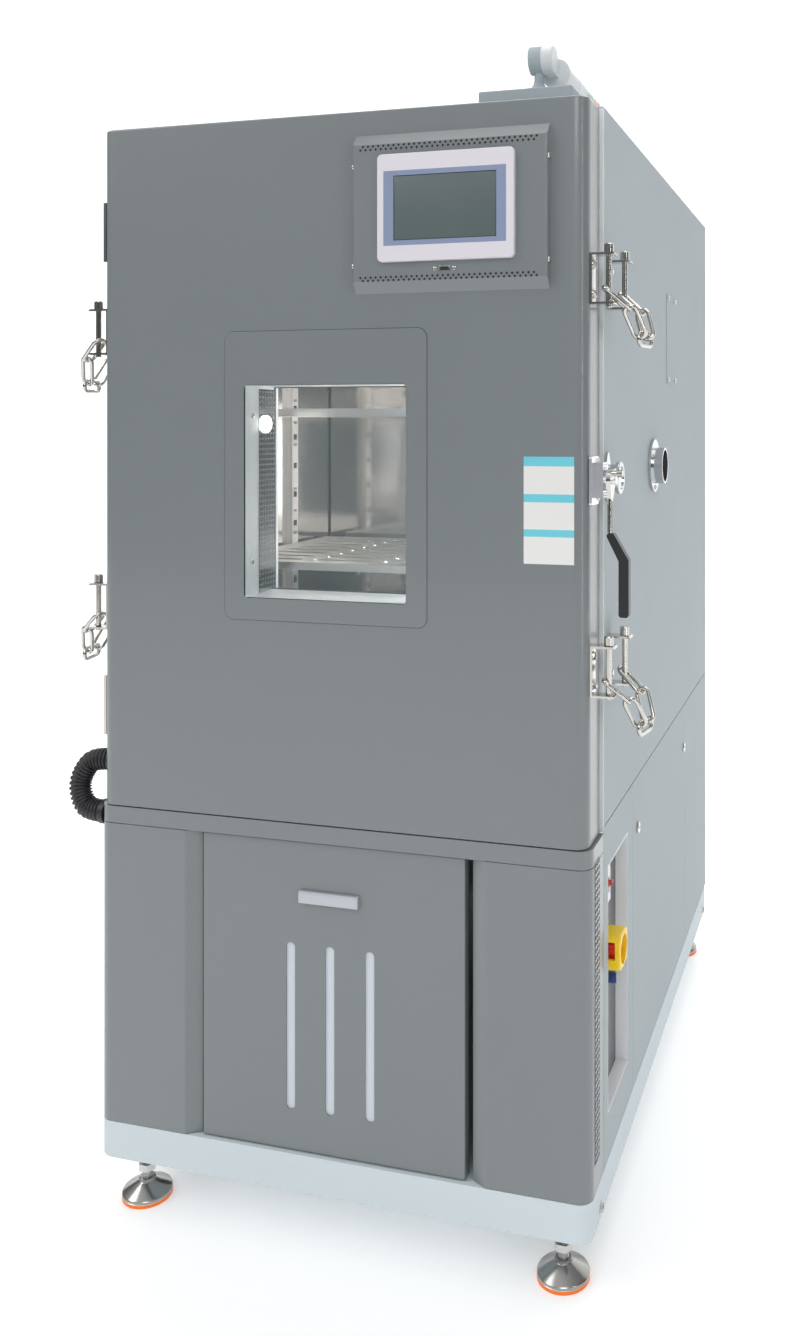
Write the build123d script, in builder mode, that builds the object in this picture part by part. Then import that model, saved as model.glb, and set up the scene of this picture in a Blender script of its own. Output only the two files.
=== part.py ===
# Environmental test chamber, in millimetres: X to the right, Y to the back, Z up from the floor.
# The origin is on the floor, below the middle of the whole object.
import math
import os
from build123d import *

# Main sizes
DOOR_FRONT = -567.5
CASE_HALF = 383.0
DOOR_HALF = 378.0
DOOR_THICK = 72.0
CASE_FRONT = 78.0
CASE_BACK = 1135.0
FOOT_HEIGHT = 80.0
PLINTH_TOP = 136.0
BAND_BOTTOM = 587.0
BAND_TOP = 612.0
CASE_SPLIT = 621.0
DOOR_BOTTOM = 614.0
DOOR_TOP = 1632.0
CASE_TOP = 1635.0
SHEET = 2.0
CORNER = 20.0

# Test space, measured back from the door's front face
SPACE_HALF = 275.0
SPACE_FRONT = 80.0
SPACE_BACK = 650.0
SPACE_BOTTOM = 810.0
SPACE_TOP = 1410.0
FOAM = 78.0
BAFFLE_AT = 560.0

# Window in the door
WINDOW_X = -10.0
WINDOW_Z = 1090.0
GLASS_W = 258.0
GLASS_H = 314.0
FRAME_W = 316.0
FRAME_H = 420.0
FRAME_Z = 1113.0

# Lower front
OPENING_HALF = 212.0
PANEL_LEFT = -208.0
PANEL_RIGHT = 202.0
PANEL_BOTTOM = 139.0
PANEL_TOP = 584.0
PANEL_FACE = 6.0
PANEL_THICK = 18.0
PANEL_PIVOT_X = -200.0
PANEL_PIVOT_AT = 14.0

# Right side
SERVICE_FRONT = 285.0
SERVICE_BACK = 824.0
RECESS_FRONT = 106.0
RECESS_BACK = 250.0
RECESS_BOTTOM = 200.0
RECESS_TOP = 556.0
RECESS_DEEP = 20.0
STOP_AT = 146.0
STOP_Z = 422.0
PORT_AT = 462.0
PORT_Z = 1116.0
PORT_R = 27.0
PORT_TUBE_R = 31.0
PORT_OUT = 22.0
LOCK_Z = 538.0
LOCK_FRONT_AT = 324.0
LOCK_REAR_AT = 801.0
LOCK_R = 6.0

# Hinges, chains and latch
HINGE_X = -413.0
HINGE_AT = 75.0
HINGE_R = 8.0
HINGE_PIN_R = 4.0
RUNNING = 0.05
HINGE_LEVELS = (760.0, 1480.0)
CHAIN_OUT = 24.0
CHAIN_DOOR_AT = 26.0
CHAIN_CASE_AT = 108.0
CHAIN_LEVELS = (852.0, 1386.0)
CHAIN_DROP_LEFT = 57.0
BRACKET_TALL = 70.0
CHAIN_PIN_R = 4.0
CHAIN_PIN_LONG = 76.0
LINK_WIRE = 2.8
LINK_LONG = 48.0
LINK_HALF = 8.5
LINK_BITE = 6.0
LATCH_Z = 1112.0
LATCH_AT = 30.0
LEVER_X = 403.0

# Stack light
STACK_X = 268.0
STACK_AT = 150.0
STACK_TOP = 1676.0
KNUCKLE_Z = 1730.0
KNUCKLE_R = 20.5
LAMP_X = 288.0
LAMP_Z = 1716.0
LAMP_R = 22.5
LAMP_START = 172.0

# Fans
FAN_Z = 1110.0
FAN_AT = 582.0
FAN_R = 92.0
SHAFT_R = 6.0
CONDENSER_X = 60.0
CONDENSER_Z = 340.0
CONDENSER_AT = 1030.0

# Feet and casters
FOOT_X = 332.0
FOOT_FRONT_AT = 50.0
FOOT_REAR_AT = 1085.0
CASTER_X = 300.0
CASTER_FRONT_AT = 100.0
CASTER_REAR_AT = 1035.0
WHEEL_R = 25.0
WHEEL_Z = 42.0
WHEEL_TRAIL = 20.0
RAIL_Z = 100.0

# Hose between the header band and the door
HOSE_R = 17.0
GLAND_R = 18.5
GLAND_LONG = 10.0
HOSE_LOW_AT = 25.0
HOSE_LOW_Z = 593.3
HOSE_HIGH_AT = 40.0
HOSE_HIGH_Z = 669.0

os.makedirs("parts", exist_ok=True)


def at(depth):
    """Y of a point that lies this far behind the door's front face."""
    return DOOR_FRONT + depth


def block(x_low, x_high, at_low, at_high, z_low, z_high, mode=Mode.ADD):
    """Adds or cuts a box between these bounds; the second pair is depth behind the door's front."""
    middle = ((x_low + x_high) / 2, at((at_low + at_high) / 2), (z_low + z_high) / 2)
    with Locations(middle):
        Box(x_high - x_low, at_high - at_low, z_high - z_low, mode=mode)


def round_x(x, depth, z, radius, length, mode=Mode.ADD):
    """Adds or cuts a round bar that runs from x along +X."""
    with BuildSketch(Plane.YZ.offset(x)) as section:
        with Locations((at(depth), z)):
            Circle(radius)
    extrude(section.sketch, amount=length, mode=mode)


def round_y(x, depth, z, radius, length, mode=Mode.ADD):
    """Adds or cuts a round bar that runs back from the given depth."""
    with BuildSketch(Plane.XZ.offset(-at(depth))) as section:
        with Locations((x, z)):
            Circle(radius)
    extrude(section.sketch, amount=-length, mode=mode)


def round_z(x, depth, z, radius, length, mode=Mode.ADD):
    """Adds or cuts a round bar that runs up from z."""
    with BuildSketch(Plane.XY.offset(z)) as section:
        with Locations((x, at(depth))):
            Circle(radius)
    extrude(section.sketch, amount=length, mode=mode)


def save(piece, name):
    """Labels a finished piece and writes its file."""
    piece.label = name
    export_step(piece, f"parts/{name}.step")


def base_plinth():
    """Welded base: skirt with a deck, two rails for the feet and casters, and the fixed rear forks."""
    middle = at(CASE_BACK / 2)
    with BuildPart() as plinth:
        with BuildSketch(Plane.XY.offset(FOOT_HEIGHT)):
            with Locations((0, middle)):
                RectangleRounded(2 * CASE_HALF, CASE_BACK, CORNER)
        extrude(amount=PLINTH_TOP - FOOT_HEIGHT)
        fillet(plinth.faces().sort_by(Axis.Z)[0].outer_wire().edges(), 4)
        with BuildSketch(Plane.XY.offset(FOOT_HEIGHT)):
            with Locations((0, middle)):
                RectangleRounded(2 * CASE_HALF - 12, CASE_BACK - 12, CORNER - 6)
        extrude(amount=PLINTH_TOP - FOOT_HEIGHT - 3, mode=Mode.SUBTRACT)
        for start in (FOOT_FRONT_AT - 30, CASTER_REAR_AT - 40):
            block(-378, 378, start, start + 120, RAIL_Z, PLINTH_TOP - 3)
            block(-374, 374, start + 4, start + 116, RAIL_Z + 4, PLINTH_TOP - 3, mode=Mode.SUBTRACT)
        for x in (-FOOT_X, FOOT_X):
            for depth in (FOOT_FRONT_AT, FOOT_REAR_AT):
                round_z(x, depth, RAIL_Z - 1, 7, 6, mode=Mode.SUBTRACT)
    pieces = [plinth.part]
    for x in (-CASTER_X, CASTER_X):
        pieces.append(caster_fork(x, CASTER_REAR_AT, 1))
    save(Compound(children=pieces), "base_plinth")


def caster_fork(x, depth, side):
    """Fork of one caster: top plate, king pin and two cheeks with the axle between them."""
    axle = depth + side * WHEEL_TRAIL
    with BuildPart() as fork:
        round_z(x, depth, RAIL_Z - 10, 13, 9.8)
        block(x - 17, x + 17, min(depth, axle) - 13, max(depth, axle) + 13, RAIL_Z - 14, RAIL_Z - 10)
        for cheek in (x - 17, x + 14):
            with BuildSketch(Plane.YZ.offset(cheek)):
                with Locations((at(axle), WHEEL_Z)):
                    Circle(8)
                with Locations((at((depth + axle) / 2), RAIL_Z - 12)):
                    Rectangle(34, 4)
                make_hull()
            extrude(amount=3)
        round_x(x - 19, axle, WHEEL_Z, 4, 38)
    return fork.part


def caster_wheel(name, x, depth, side):
    """One caster wheel: rounded tread with a hub and a bore that runs on the axle."""
    axle = at(depth + side * WHEEL_TRAIL)
    with BuildPart() as wheel:
        with BuildSketch(Plane.XY.offset(WHEEL_Z)) as profile:
            with Locations((x, axle + (WHEEL_R + 4 + RUNNING) / 2)):
                Rectangle(21, WHEEL_R - 4 - RUNNING)
            fillet(profile.vertices().group_by(Axis.Y)[-1], 5)
        revolve(axis=Axis((x, axle, WHEEL_Z), (1, 0, 0)))
    save(wheel.part, name)


def levelling_feet():
    """Four feet: stud with cup and lock nuts, and a soft round pad under each."""
    pieces = []
    for x in (-FOOT_X, FOOT_X):
        for depth in (FOOT_FRONT_AT, FOOT_REAR_AT):
            with BuildPart() as stud:
                with BuildSketch(Plane.XZ.offset(-at(depth))) as profile:
                    with BuildLine():
                        Polyline(
                            (x, 9), (x + 30, 9), (x + 30, 13), (x + 16, 19), (x + 9, 26),
                            (x + 6.7, 28), (x + 6.7, 128), (x, 128), close=True,
                        )
                    make_face()
                revolve(axis=Axis((x, at(depth), 0), (0, 0, 1)))
                for level in (40, RAIL_Z - 12):
                    with BuildSketch(Plane.XY.offset(level)):
                        with Locations((x, at(depth))):
                            RegularPolygon(12, 6, major_radius=False)
                    extrude(amount=10)
            with BuildPart() as pad:
                round_z(x, depth, 0, 37.5, 9)
                chamfer(pad.faces().sort_by(Axis.Z)[-1].edges(), 3)
            pieces += [stud.part, pad.part]
    save(Compound(children=pieces), "levelling_feet")


def upper_sides():
    """Left and right upper side sheets; the right one has the port's hole and a screwed cover plate."""
    with BuildPart() as left:
        block(-CASE_HALF, -CASE_HALF + SHEET, 80, CASE_BACK - 2, CASE_SPLIT, CASE_TOP - 2)
    with BuildPart() as right:
        block(CASE_HALF - SHEET, CASE_HALF, 80, CASE_BACK - 2, CASE_SPLIT, CASE_TOP - 2)
        block(CASE_HALF, CASE_HALF + 1.5, 602, 692, 1262, 1428)
        for depth in (610, 684):
            for level in (1270, 1420):
                round_x(CASE_HALF + 1.5, depth, level, 4, 1.5)
        round_x(CASE_HALF - 10, PORT_AT, PORT_Z, PORT_TUBE_R + 0.3, 20, mode=Mode.SUBTRACT)
    save(Compound(children=[left.part, right.part]), "upper_sides")


def roof_panel():
    """Roof sheet with its folded lip."""
    with BuildPart() as roof:
        block(-CASE_HALF, CASE_HALF, CASE_FRONT, CASE_BACK, CASE_TOP - 2, CASE_TOP)
    save(roof.part, "roof_panel")


def front_frame():
    """White front frame round the mouth of the test space; its outer strip shows beside the door."""
    with BuildPart() as ring:
        block(-CASE_HALF, CASE_HALF, CASE_FRONT, 80, DOOR_BOTTOM, CASE_TOP - 2)
        block(-SPACE_HALF, SPACE_HALF, 60, 100, SPACE_BOTTOM, SPACE_TOP, mode=Mode.SUBTRACT)
    save(ring.part, "front_frame")


def back_panel():
    """Back sheet with louvre slots for the condenser's air."""
    with BuildPart() as back:
        block(-CASE_HALF + 2, CASE_HALF - 2, CASE_BACK - 2, CASE_BACK, PLINTH_TOP + 2, CASE_TOP - 2)
        with BuildSketch(Plane.XZ.offset(-at(CASE_BACK - 10))):
            with Locations((CONDENSER_X, CONDENSER_Z)):
                with GridLocations(190, 22, 2, 15):
                    SlotOverall(160, 8)
        extrude(amount=-20, mode=Mode.SUBTRACT)
    save(back.part, "back_panel")


def lower_sides():
    """Lower side sheets: the whole left one, and the right one's front and rear sections."""
    low = PLINTH_TOP + 2
    high = CASE_SPLIT - 2
    with BuildPart() as left:
        block(-CASE_HALF, -CASE_HALF + SHEET, CASE_FRONT + 2, CASE_BACK - 2, low, high)
    with BuildPart() as front:
        block(CASE_HALF - SHEET, CASE_HALF, CASE_FRONT + 2, SERVICE_FRONT, low, high)
        block(370, 390, RECESS_FRONT, RECESS_BACK, RECESS_BOTTOM, RECESS_TOP, mode=Mode.SUBTRACT)
    with BuildPart() as rear:
        block(CASE_HALF - SHEET, CASE_HALF, SERVICE_BACK, CASE_BACK - 2, low, high)
    save(Compound(children=[left.part, front.part, rear.part]), "lower_sides")


def lower_posts():
    """The two folded posts beside the access panel, and the panel's pivot pins."""
    low = PLINTH_TOP + 1
    high = BAND_BOTTOM - 1
    with BuildPart() as post:
        with BuildSketch(Plane.XY.offset(low)) as plan:
            with BuildLine():
                Polyline(
                    (-CASE_HALF, at(CASE_FRONT)), (-CASE_HALF, at(0)), (-OPENING_HALF - 22, at(0)),
                    (-OPENING_HALF, at(12)), (-OPENING_HALF, at(46)), (-OPENING_HALF - 22, at(46)),
                    (-OPENING_HALF - 22, at(CASE_FRONT)), close=True,
                )
            make_face()
            fillet(plan.vertices().sort_by(Axis.Y).sort_by(Axis.X)[0:2].sort_by(Axis.Y)[0], CORNER)
        extrude(amount=high - low)
        block(-CASE_HALF + 2, -OPENING_HALF - 24, 22, 90, low, high, mode=Mode.SUBTRACT)
        block(-CASE_HALF + 22, -OPENING_HALF - 24, 2, 40, low, high, mode=Mode.SUBTRACT)
    right = mirror(post.part, about=Plane.YZ)
    pivots = []
    for start in (PLINTH_TOP, BAND_BOTTOM - 9):
        with BuildPart() as pivot:
            round_z(PANEL_PIVOT_X, PANEL_PIVOT_AT, start, 2.5, 9)
        pivots.append(pivot.part)
    save(Compound(children=[post.part, right, *pivots]), "lower_posts")


def header_band():
    """Dark band between the lower front and the door, wrapped round the front corners."""
    with BuildPart() as band:
        with BuildSketch(Plane.XY.offset(BAND_BOTTOM)) as plan:
            with Locations((0, at(CASE_FRONT / 2))):
                Rectangle(2 * CASE_HALF, CASE_FRONT)
            fillet(plan.vertices().group_by(Axis.Y)[0], CORNER)
        extrude(amount=BAND_TOP - BAND_BOTTOM)
        block(-376, 376, 22, 70, BAND_BOTTOM - 1, BAND_TOP - 3, mode=Mode.SUBTRACT)
    save(band.part, "header_band")


def chamber_liner():
    """Stainless sheets of the test space: two sides, floor, ceiling and back."""
    sides = []
    for side in (-1, 1):
        inner = side * SPACE_HALF
        outer = side * (SPACE_HALF + SHEET)
        with BuildPart() as wall:
            block(min(inner, outer), max(inner, outer), 80, SPACE_BACK, SPACE_BOTTOM - 2, SPACE_TOP + 2)
            if side == 1:
                round_x(SPACE_HALF - 5, PORT_AT, PORT_Z, PORT_TUBE_R + 0.3, 20, mode=Mode.SUBTRACT)
        sides.append(wall.part)
    with BuildPart() as floor:
        block(-SPACE_HALF, SPACE_HALF, 80, SPACE_BACK, SPACE_BOTTOM - 2, SPACE_BOTTOM)
    with BuildPart() as ceiling:
        block(-SPACE_HALF, SPACE_HALF, 80, SPACE_BACK, SPACE_TOP, SPACE_TOP + 2)
    with BuildPart() as back:
        wide = SPACE_HALF + SHEET
        block(-wide, wide, SPACE_BACK, SPACE_BACK + 2, SPACE_BOTTOM - 2, SPACE_TOP + 2)
        round_y(0, SPACE_BACK - 5, FAN_Z, SHAFT_R + 3, 12, mode=Mode.SUBTRACT)
    save(Compound(children=[*sides, floor.part, ceiling.part, back.part]), "chamber_liner")


def insulation():
    """Foam round the test space, open at the front, with holes for the port and the fan shaft."""
    wide = SPACE_HALF + SHEET
    with BuildPart() as foam:
        block(-wide - FOAM, wide + FOAM, 80, SPACE_BACK + 2 + FOAM, SPACE_BOTTOM - 2 - FOAM, SPACE_TOP + 2 + FOAM)
        block(-wide, wide, 70, SPACE_BACK + 2, SPACE_BOTTOM - 2, SPACE_TOP + 2, mode=Mode.SUBTRACT)
        round_x(wide - 5, PORT_AT, PORT_Z, PORT_TUBE_R + 0.5, FOAM + 10, mode=Mode.SUBTRACT)
        round_y(0, SPACE_BACK, FAN_Z, SHAFT_R + 3, FOAM + 10, mode=Mode.SUBTRACT)
    save(foam.part, "insulation")


def shelf_rack():
    """Four slotted tracks on the side walls and two slotted shelves hooked between them."""
    pieces = []
    for side in (-1, 1):
        for depth in (170, 400):
            x = side * (SPACE_HALF - 5)
            with BuildPart() as track:
                block(x - 5, x + 5, depth - 11, depth + 11, SPACE_BOTTOM + 20, SPACE_TOP - 20)
                with BuildSketch(Plane.YZ.offset(x - 10)):
                    with Locations((at(depth), (SPACE_BOTTOM + SPACE_TOP) / 2)):
                        with GridLocations(1, 40, 1, 13):
                            Rectangle(12, 5)
                extrude(amount=20, mode=Mode.SUBTRACT)
            pieces.append(track.part)
    for level in (960, 1200):
        with BuildPart() as shelf:
            block(-262, 262, 130, 520, level, level + 12)
            block(-260, 260, 132, 518, level - 1, level + 10, mode=Mode.SUBTRACT)
            with BuildSketch(Plane.XY.offset(level)):
                with Locations((0, at(325))):
                    with GridLocations(120, 45, 4, 8):
                        SlotOverall(100, 14)
            extrude(amount=20, mode=Mode.SUBTRACT)
            for x in (-264, 264):
                for depth in (170, 400):
                    block(x - 2.1, x + 2.1, depth - 5, depth + 5, level, level + 12)
        pieces.append(shelf.part)
    save(Compound(children=pieces), "shelf_rack")


def air_baffle():
    """Rear air duct panel with the fan's round inlet and an outlet row above and below."""
    with BuildPart() as baffle:
        block(-272, 272, BAFFLE_AT, BAFFLE_AT + 2, SPACE_BOTTOM + 3, SPACE_TOP - 3)
        with BuildSketch(Plane.XZ.offset(-at(BAFFLE_AT - 5))):
            with Locations((0, FAN_Z)):
                Circle(70)
            with Locations((0, FAN_Z)):
                with GridLocations(66, 520, 7, 2):
                    SlotOverall(50, 14)
        extrude(amount=-20, mode=Mode.SUBTRACT)
    save(baffle.part, "air_baffle")


def circulation_fan():
    """Centrifugal wheel: back plate, swept blades, front ring, hub and shaft."""
    with BuildPart() as fan:
        round_y(0, FAN_AT + 38, FAN_Z, FAN_R, 3)
        round_y(0, FAN_AT, FAN_Z, FAN_R, 3)
        round_y(0, FAN_AT - 1, FAN_Z, FAN_R - 22, 5, mode=Mode.SUBTRACT)
        round_y(0, FAN_AT + 10, FAN_Z, 18, 30)
        round_y(0, FAN_AT + 30, FAN_Z, SHAFT_R, 745 + 18 - FAN_AT - 30)
        with BuildSketch(Plane.XZ.offset(-at(FAN_AT + 3))):
            with Locations((0, FAN_Z)):
                with PolarLocations(0, 14):
                    add(fan_blade_section())
        extrude(amount=-35.5)
    save(fan.part, "circulation_fan")


def fan_blade_section():
    """Curved section of one blade, drawn between the wheel's inner and outer radius."""
    with BuildSketch() as section:
        with BuildLine():
            outer = ThreePointArc((FAN_R - 26, 0), (FAN_R - 12, 5), (FAN_R - 1, 16))
            Line(outer @ 1, (FAN_R - 3, 17))
            inner = ThreePointArc((FAN_R - 3, 17), (FAN_R - 14, 7), (FAN_R - 26, 2))
            Line(inner @ 1, outer @ 0)
        make_face()
    return section.sketch


def fan_motor():
    """Circulation fan motor behind the foam: can, end bell, mounting flange and the shaft's bore."""
    start = SPACE_BACK + 2 + FOAM
    with BuildPart() as motor:
        round_y(0, start, FAN_Z, 58, 6)
        round_y(0, start + 6, FAN_Z, 45, 110)
        fillet(motor.faces().sort_by(Axis.Y)[-1].edges(), 8)
        block(-22, 22, start + 20, start + 90, FAN_Z + 40, FAN_Z + 66)
        round_y(0, start - 1, FAN_Z, SHAFT_R + RUNNING, 40, mode=Mode.SUBTRACT)
    save(motor.part, "fan_motor")


def coil_and_heater():
    """Finned cooling coil above the fan and a bent tube heater below it, in the duct."""
    with BuildPart() as coil:
        for index in range(9):
            x = -200 + index * 50
            block(x - 1, x + 1, 572, 642, 1250, 1380)
        for depth in (590, 625):
            for level in (1280, 1345):
                round_x(-210, depth, level, 5, 420)
    with BuildPart() as heater:
        for level in (850, 885):
            round_x(-180, 600, level, 5, 360)
        block(-186, -180, 592, 642, 840, 895)
        block(180, 186, 592, 642, 840, 895)
    save(Compound(children=[coil.part, heater.part]), "coil_and_heater")


def compressor():
    """Sealed compressor can with domed ends on its foot plate."""
    x = -190
    depth = 820
    floor = PLINTH_TOP
    with BuildPart() as can:
        block(x - 85, x + 85, depth - 60, depth + 60, floor, floor + 10)
        round_z(x, depth, floor + 10, 78, 236)
        fillet(can.edges().filter_by(GeomType.CIRCLE).sort_by(Axis.Z)[-1], 45)
        round_z(x + 30, depth, floor + 225, 6, 60)
    save(can.part, "compressor")


def condenser():
    """Finned condenser block with its side plates, on the deck in front of the back panel."""
    x = CONDENSER_X
    z = CONDENSER_Z
    start = CONDENSER_AT
    with BuildPart() as coil:
        for index in range(13):
            fin = x - 180 + index * 30
            block(fin - 1, fin + 1, start + 10, start + 60, z - 170, z + 170)
        for level in (z - 120, z - 40, z + 40, z + 120):
            round_x(x - 182, start + 35, level, 6, 364)
        for side in (x - 184, x + 181):
            block(side, side + 3, start, start + 62, PLINTH_TOP, z + 175)
        block(x - 184, x + 184, start + 4, start + 8, z - 6, z + 6)
        round_y(x, start - 10, z, 4, 18)
    save(coil.part, "condenser")


def condenser_fan():
    """Five broad blades on a hub that turns on the condenser's stub shaft."""
    x = CONDENSER_X
    z = CONDENSER_Z
    start = CONDENSER_AT - 26
    with BuildPart() as fan:
        round_y(x, start, z, 24, 24)
        for index in range(5):
            angle = index * 72
            plane = Plane(origin=(x, at(start + 12), z), z_dir=(math.cos(math.radians(angle)), 0,
                          math.sin(math.radians(angle))), x_dir=(0, 1, 0))
            with BuildSketch(plane.offset(18)):
                Rectangle(3, 34, rotation=30)
            with BuildSketch(plane.offset(118)):
                Rectangle(2, 52, rotation=40)
            loft()
        round_y(x, start + 12, z, 4 + RUNNING, 20, mode=Mode.SUBTRACT)
    save(fan.part, "condenser_fan")


def cable_port():
    """Cable port: tube right through the wall with a flange on the outside."""
    start = SPACE_HALF - 2
    end = CASE_HALF + PORT_OUT
    with BuildPart() as port:
        round_x(start, PORT_AT, PORT_Z, PORT_TUBE_R, end - start)
        round_x(CASE_HALF + 0.2, PORT_AT, PORT_Z, 45, 4.8)
        round_x(start - 1, PORT_AT, PORT_Z, PORT_R, end - start + 2, mode=Mode.SUBTRACT)
    save(port.part, "cable_port")


def cable_glands():
    """Gland of the hose in the band's left end, and the mains gland in the back panel."""
    with BuildPart() as low:
        round_x(-CASE_HALF - GLAND_LONG, HOSE_LOW_AT, HOSE_LOW_Z, GLAND_R, GLAND_LONG)
        chamfer(low.faces().sort_by(Axis.X)[0].edges(), 1)
    with BuildPart() as mains:
        with BuildSketch(Plane.XZ.offset(-at(CASE_BACK))):
            with Locations((-280, 200)):
                RegularPolygon(15, 6)
        extrude(amount=-10)
        round_y(-280, CASE_BACK + 10, 200, 11, 10.5)
        round_y(-280, CASE_BACK - 1, 200, 7, 25, mode=Mode.SUBTRACT)
    save(Compound(children=[low.part, mains.part]), "cable_glands")


def latch_keeper():
    """Keeper on the case: lobed flange and a stepped round boss with a dished face."""
    x = CASE_HALF
    depth = 97
    with BuildPart() as keeper:
        with BuildSketch(Plane.YZ.offset(x)):
            with Locations((at(depth), LATCH_Z)):
                Circle(21)
            for step in (-28, 28):
                with Locations((at(depth), LATCH_Z + step)):
                    Circle(8)
            make_hull()
        extrude(amount=3)
        round_x(x + 3, depth, LATCH_Z, 19, 13)
        round_x(x + 16, depth, LATCH_Z, 23, 6)
        fillet(keeper.faces().sort_by(Axis.X)[-1].edges(), 2)
        round_x(x + 20, depth, LATCH_Z, 17, 5, mode=Mode.SUBTRACT)
    save(keeper.part, "latch_keeper")


def hinges():
    """Two offset hinges: case leaves with the pin, and door leaves whose knuckle turns on it."""
    case = []
    door = []
    for level in HINGE_LEVELS:
        with BuildPart() as leaf:
            block(-CASE_HALF - 4, -CASE_HALF, 86, 136, level - 45, level + 45)
            for start in (level - 45, level + 25):
                with BuildSketch(Plane.XY.offset(start)):
                    with Locations((HINGE_X, at(HINGE_AT))):
                        Circle(HINGE_R)
                    with Locations((-CASE_HALF - 2, at(98))):
                        Rectangle(4, 22)
                    make_hull()
                extrude(amount=20)
            round_z(HINGE_X, HINGE_AT, level - 48, HINGE_PIN_R, 96)
        case.append(leaf.part)
        with BuildPart() as leaf:
            block(-CASE_HALF, -DOOR_HALF, 12, 64, level - 45, level + 45)
            with BuildSketch(Plane.XY.offset(level - 24.7)):
                with Locations((HINGE_X, at(HINGE_AT))):
                    Circle(HINGE_R)
                with Locations((-CASE_HALF + 1, at(52))):
                    Rectangle(4, 22)
                make_hull()
            extrude(amount=49.4)
            round_z(HINGE_X, HINGE_AT, level - 30, HINGE_PIN_R + RUNNING, 60, mode=Mode.SUBTRACT)
        door.append(leaf.part)
    save(Compound(children=case), "case_hinges")
    save(Compound(children=door), "door_hinges")


def chain_bracket(face, side, depth, middle):
    """Bracket folded from strip: back plate on the face, and a flange above and below."""
    out = face + side * (CHAIN_OUT + 10)
    with BuildPart() as bracket:
        low = min(face, out)
        high = max(face, out)
        block(low, high, depth - 11, depth + 11, middle - BRACKET_TALL / 2, middle + BRACKET_TALL / 2)
        fillet(bracket.edges().filter_by(Axis.Y).group_by(Axis.X)[0 if side < 0 else -1], 3)
        block(
            low + (3 if side > 0 else -50), high + (50 if side > 0 else -3), depth - 30, depth + 30,
            middle - BRACKET_TALL / 2 + 3, middle + BRACKET_TALL / 2 - 3, mode=Mode.SUBTRACT,
        )
        round_z(face + side * CHAIN_OUT, depth, middle - 50, CHAIN_PIN_R + RUNNING, 100, mode=Mode.SUBTRACT)
    return bracket.part


def chain_pin(face, side, depth, middle):
    """Headed pin that drops through both flanges of a bracket."""
    x = face + side * CHAIN_OUT
    bottom = middle - BRACKET_TALL / 2 - 3
    with BuildPart() as pin:
        round_z(x, depth, bottom, CHAIN_PIN_R, BRACKET_TALL + 3)
        round_z(x, depth, middle + BRACKET_TALL / 2, 6.5, 13)
        chamfer(pin.faces().sort_by(Axis.Z)[-1].edges(), 1.5)
    return pin.part


def chain_level(side, level):
    """Middle of the brackets of the set at this level; the left sets hang a little lower."""
    return level if side > 0 else level + CHAIN_DROP_LEFT * (1 if level < 1000 else -1)


def chain_sets():
    """Four safety chain sets: brackets and pins on door and case, and links between them."""
    on_door = []
    on_case = []
    links = []
    for side in (-1, 1):
        for level in CHAIN_LEVELS:
            middle = chain_level(side, level)
            on_door.append(chain_bracket(side * DOOR_HALF, side, CHAIN_DOOR_AT, middle))
            on_case.append(chain_bracket(side * CASE_HALF, side, CHAIN_CASE_AT, middle))
            on_case.append(chain_pin(side * CASE_HALF, side, CHAIN_CASE_AT, middle))
            pin = chain_pin(side * DOOR_HALF, side, CHAIN_DOOR_AT, middle)
            if side < 0:
                on_door.append(pin)
            elif level == CHAIN_LEVELS[0]:
                save(pin, "chain_pin_lower")
            else:
                save(pin, "chain_pin_upper")
            links += chain_links(side, middle)
    save(Compound(children=on_door), "chain_brackets_door")
    save(Compound(children=on_case), "chain_brackets_case")
    save(Compound(children=links), "safety_chains")


def chain_links(side, middle):
    """Five links of one set: two hang from the door pin, two from the case pin, one joins them."""
    ledge = middle - BRACKET_TALL / 2 + 3
    ends = []
    pieces = []
    for face, depth, turn in ((DOOR_HALF, CHAIN_DOOR_AT, 1), (CASE_HALF, CHAIN_CASE_AT, -1)):
        out = Vector(side * 0.94, turn * 0.34, 0)
        along = (out + Vector(0, 0, -0.84)).normalized()
        flat = Vector(0, 0, 1).cross(out)
        behind = 7.4 / along.cross(Vector(0, 0, 1)).length
        start = Vector(side * (face + CHAIN_OUT), at(depth), ledge + 14) - along * behind
        finish = start + along * LINK_LONG
        pieces.append(chain_link(start, along, flat))
        down = Vector(side * 0.30, turn * 0.42, -0.86).normalized()
        start = finish - down * LINK_BITE
        pieces.append(chain_link(start, down, down.cross(Vector(0, 1, 0))))
        ends.append(start + down * LINK_LONG)
    across = (ends[1] - ends[0]).normalized()
    lift = Vector(0, 0, LINK_BITE - LINK_HALF)
    start = (ends[0] + ends[1]) * 0.5 + lift - across * (LINK_LONG / 2)
    pieces.append(chain_link(start, across, Vector(0, 0, 1)))
    return pieces


def chain_link(start, along, flat):
    """One oval link of wire; start is the middle of its first bend and flat lies across its opening."""
    half = LINK_LONG / 2
    across = (flat - along * flat.dot(along)).normalized()
    plane = Plane(origin=start + along * half, x_dir=along, z_dir=along.cross(across))
    wide = LINK_HALF
    flank = half - wide
    bend = wide * 0.72
    with BuildPart() as link:
        with BuildLine(plane):
            route = Polyline(
                (0, wide), (flank, wide), (flank + bend, bend), (half, 0), (flank + bend, -bend),
                (flank, -wide), (-flank, -wide), (-flank - bend, -bend), (-half, 0),
                (-flank - bend, bend), (-flank, wide), close=True,
            )
        with BuildSketch(Plane(origin=route @ 0, z_dir=route % 0)):
            RegularPolygon(LINK_WIRE, 6)
        sweep(transition=Transition.RIGHT)
    return link.part


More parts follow.
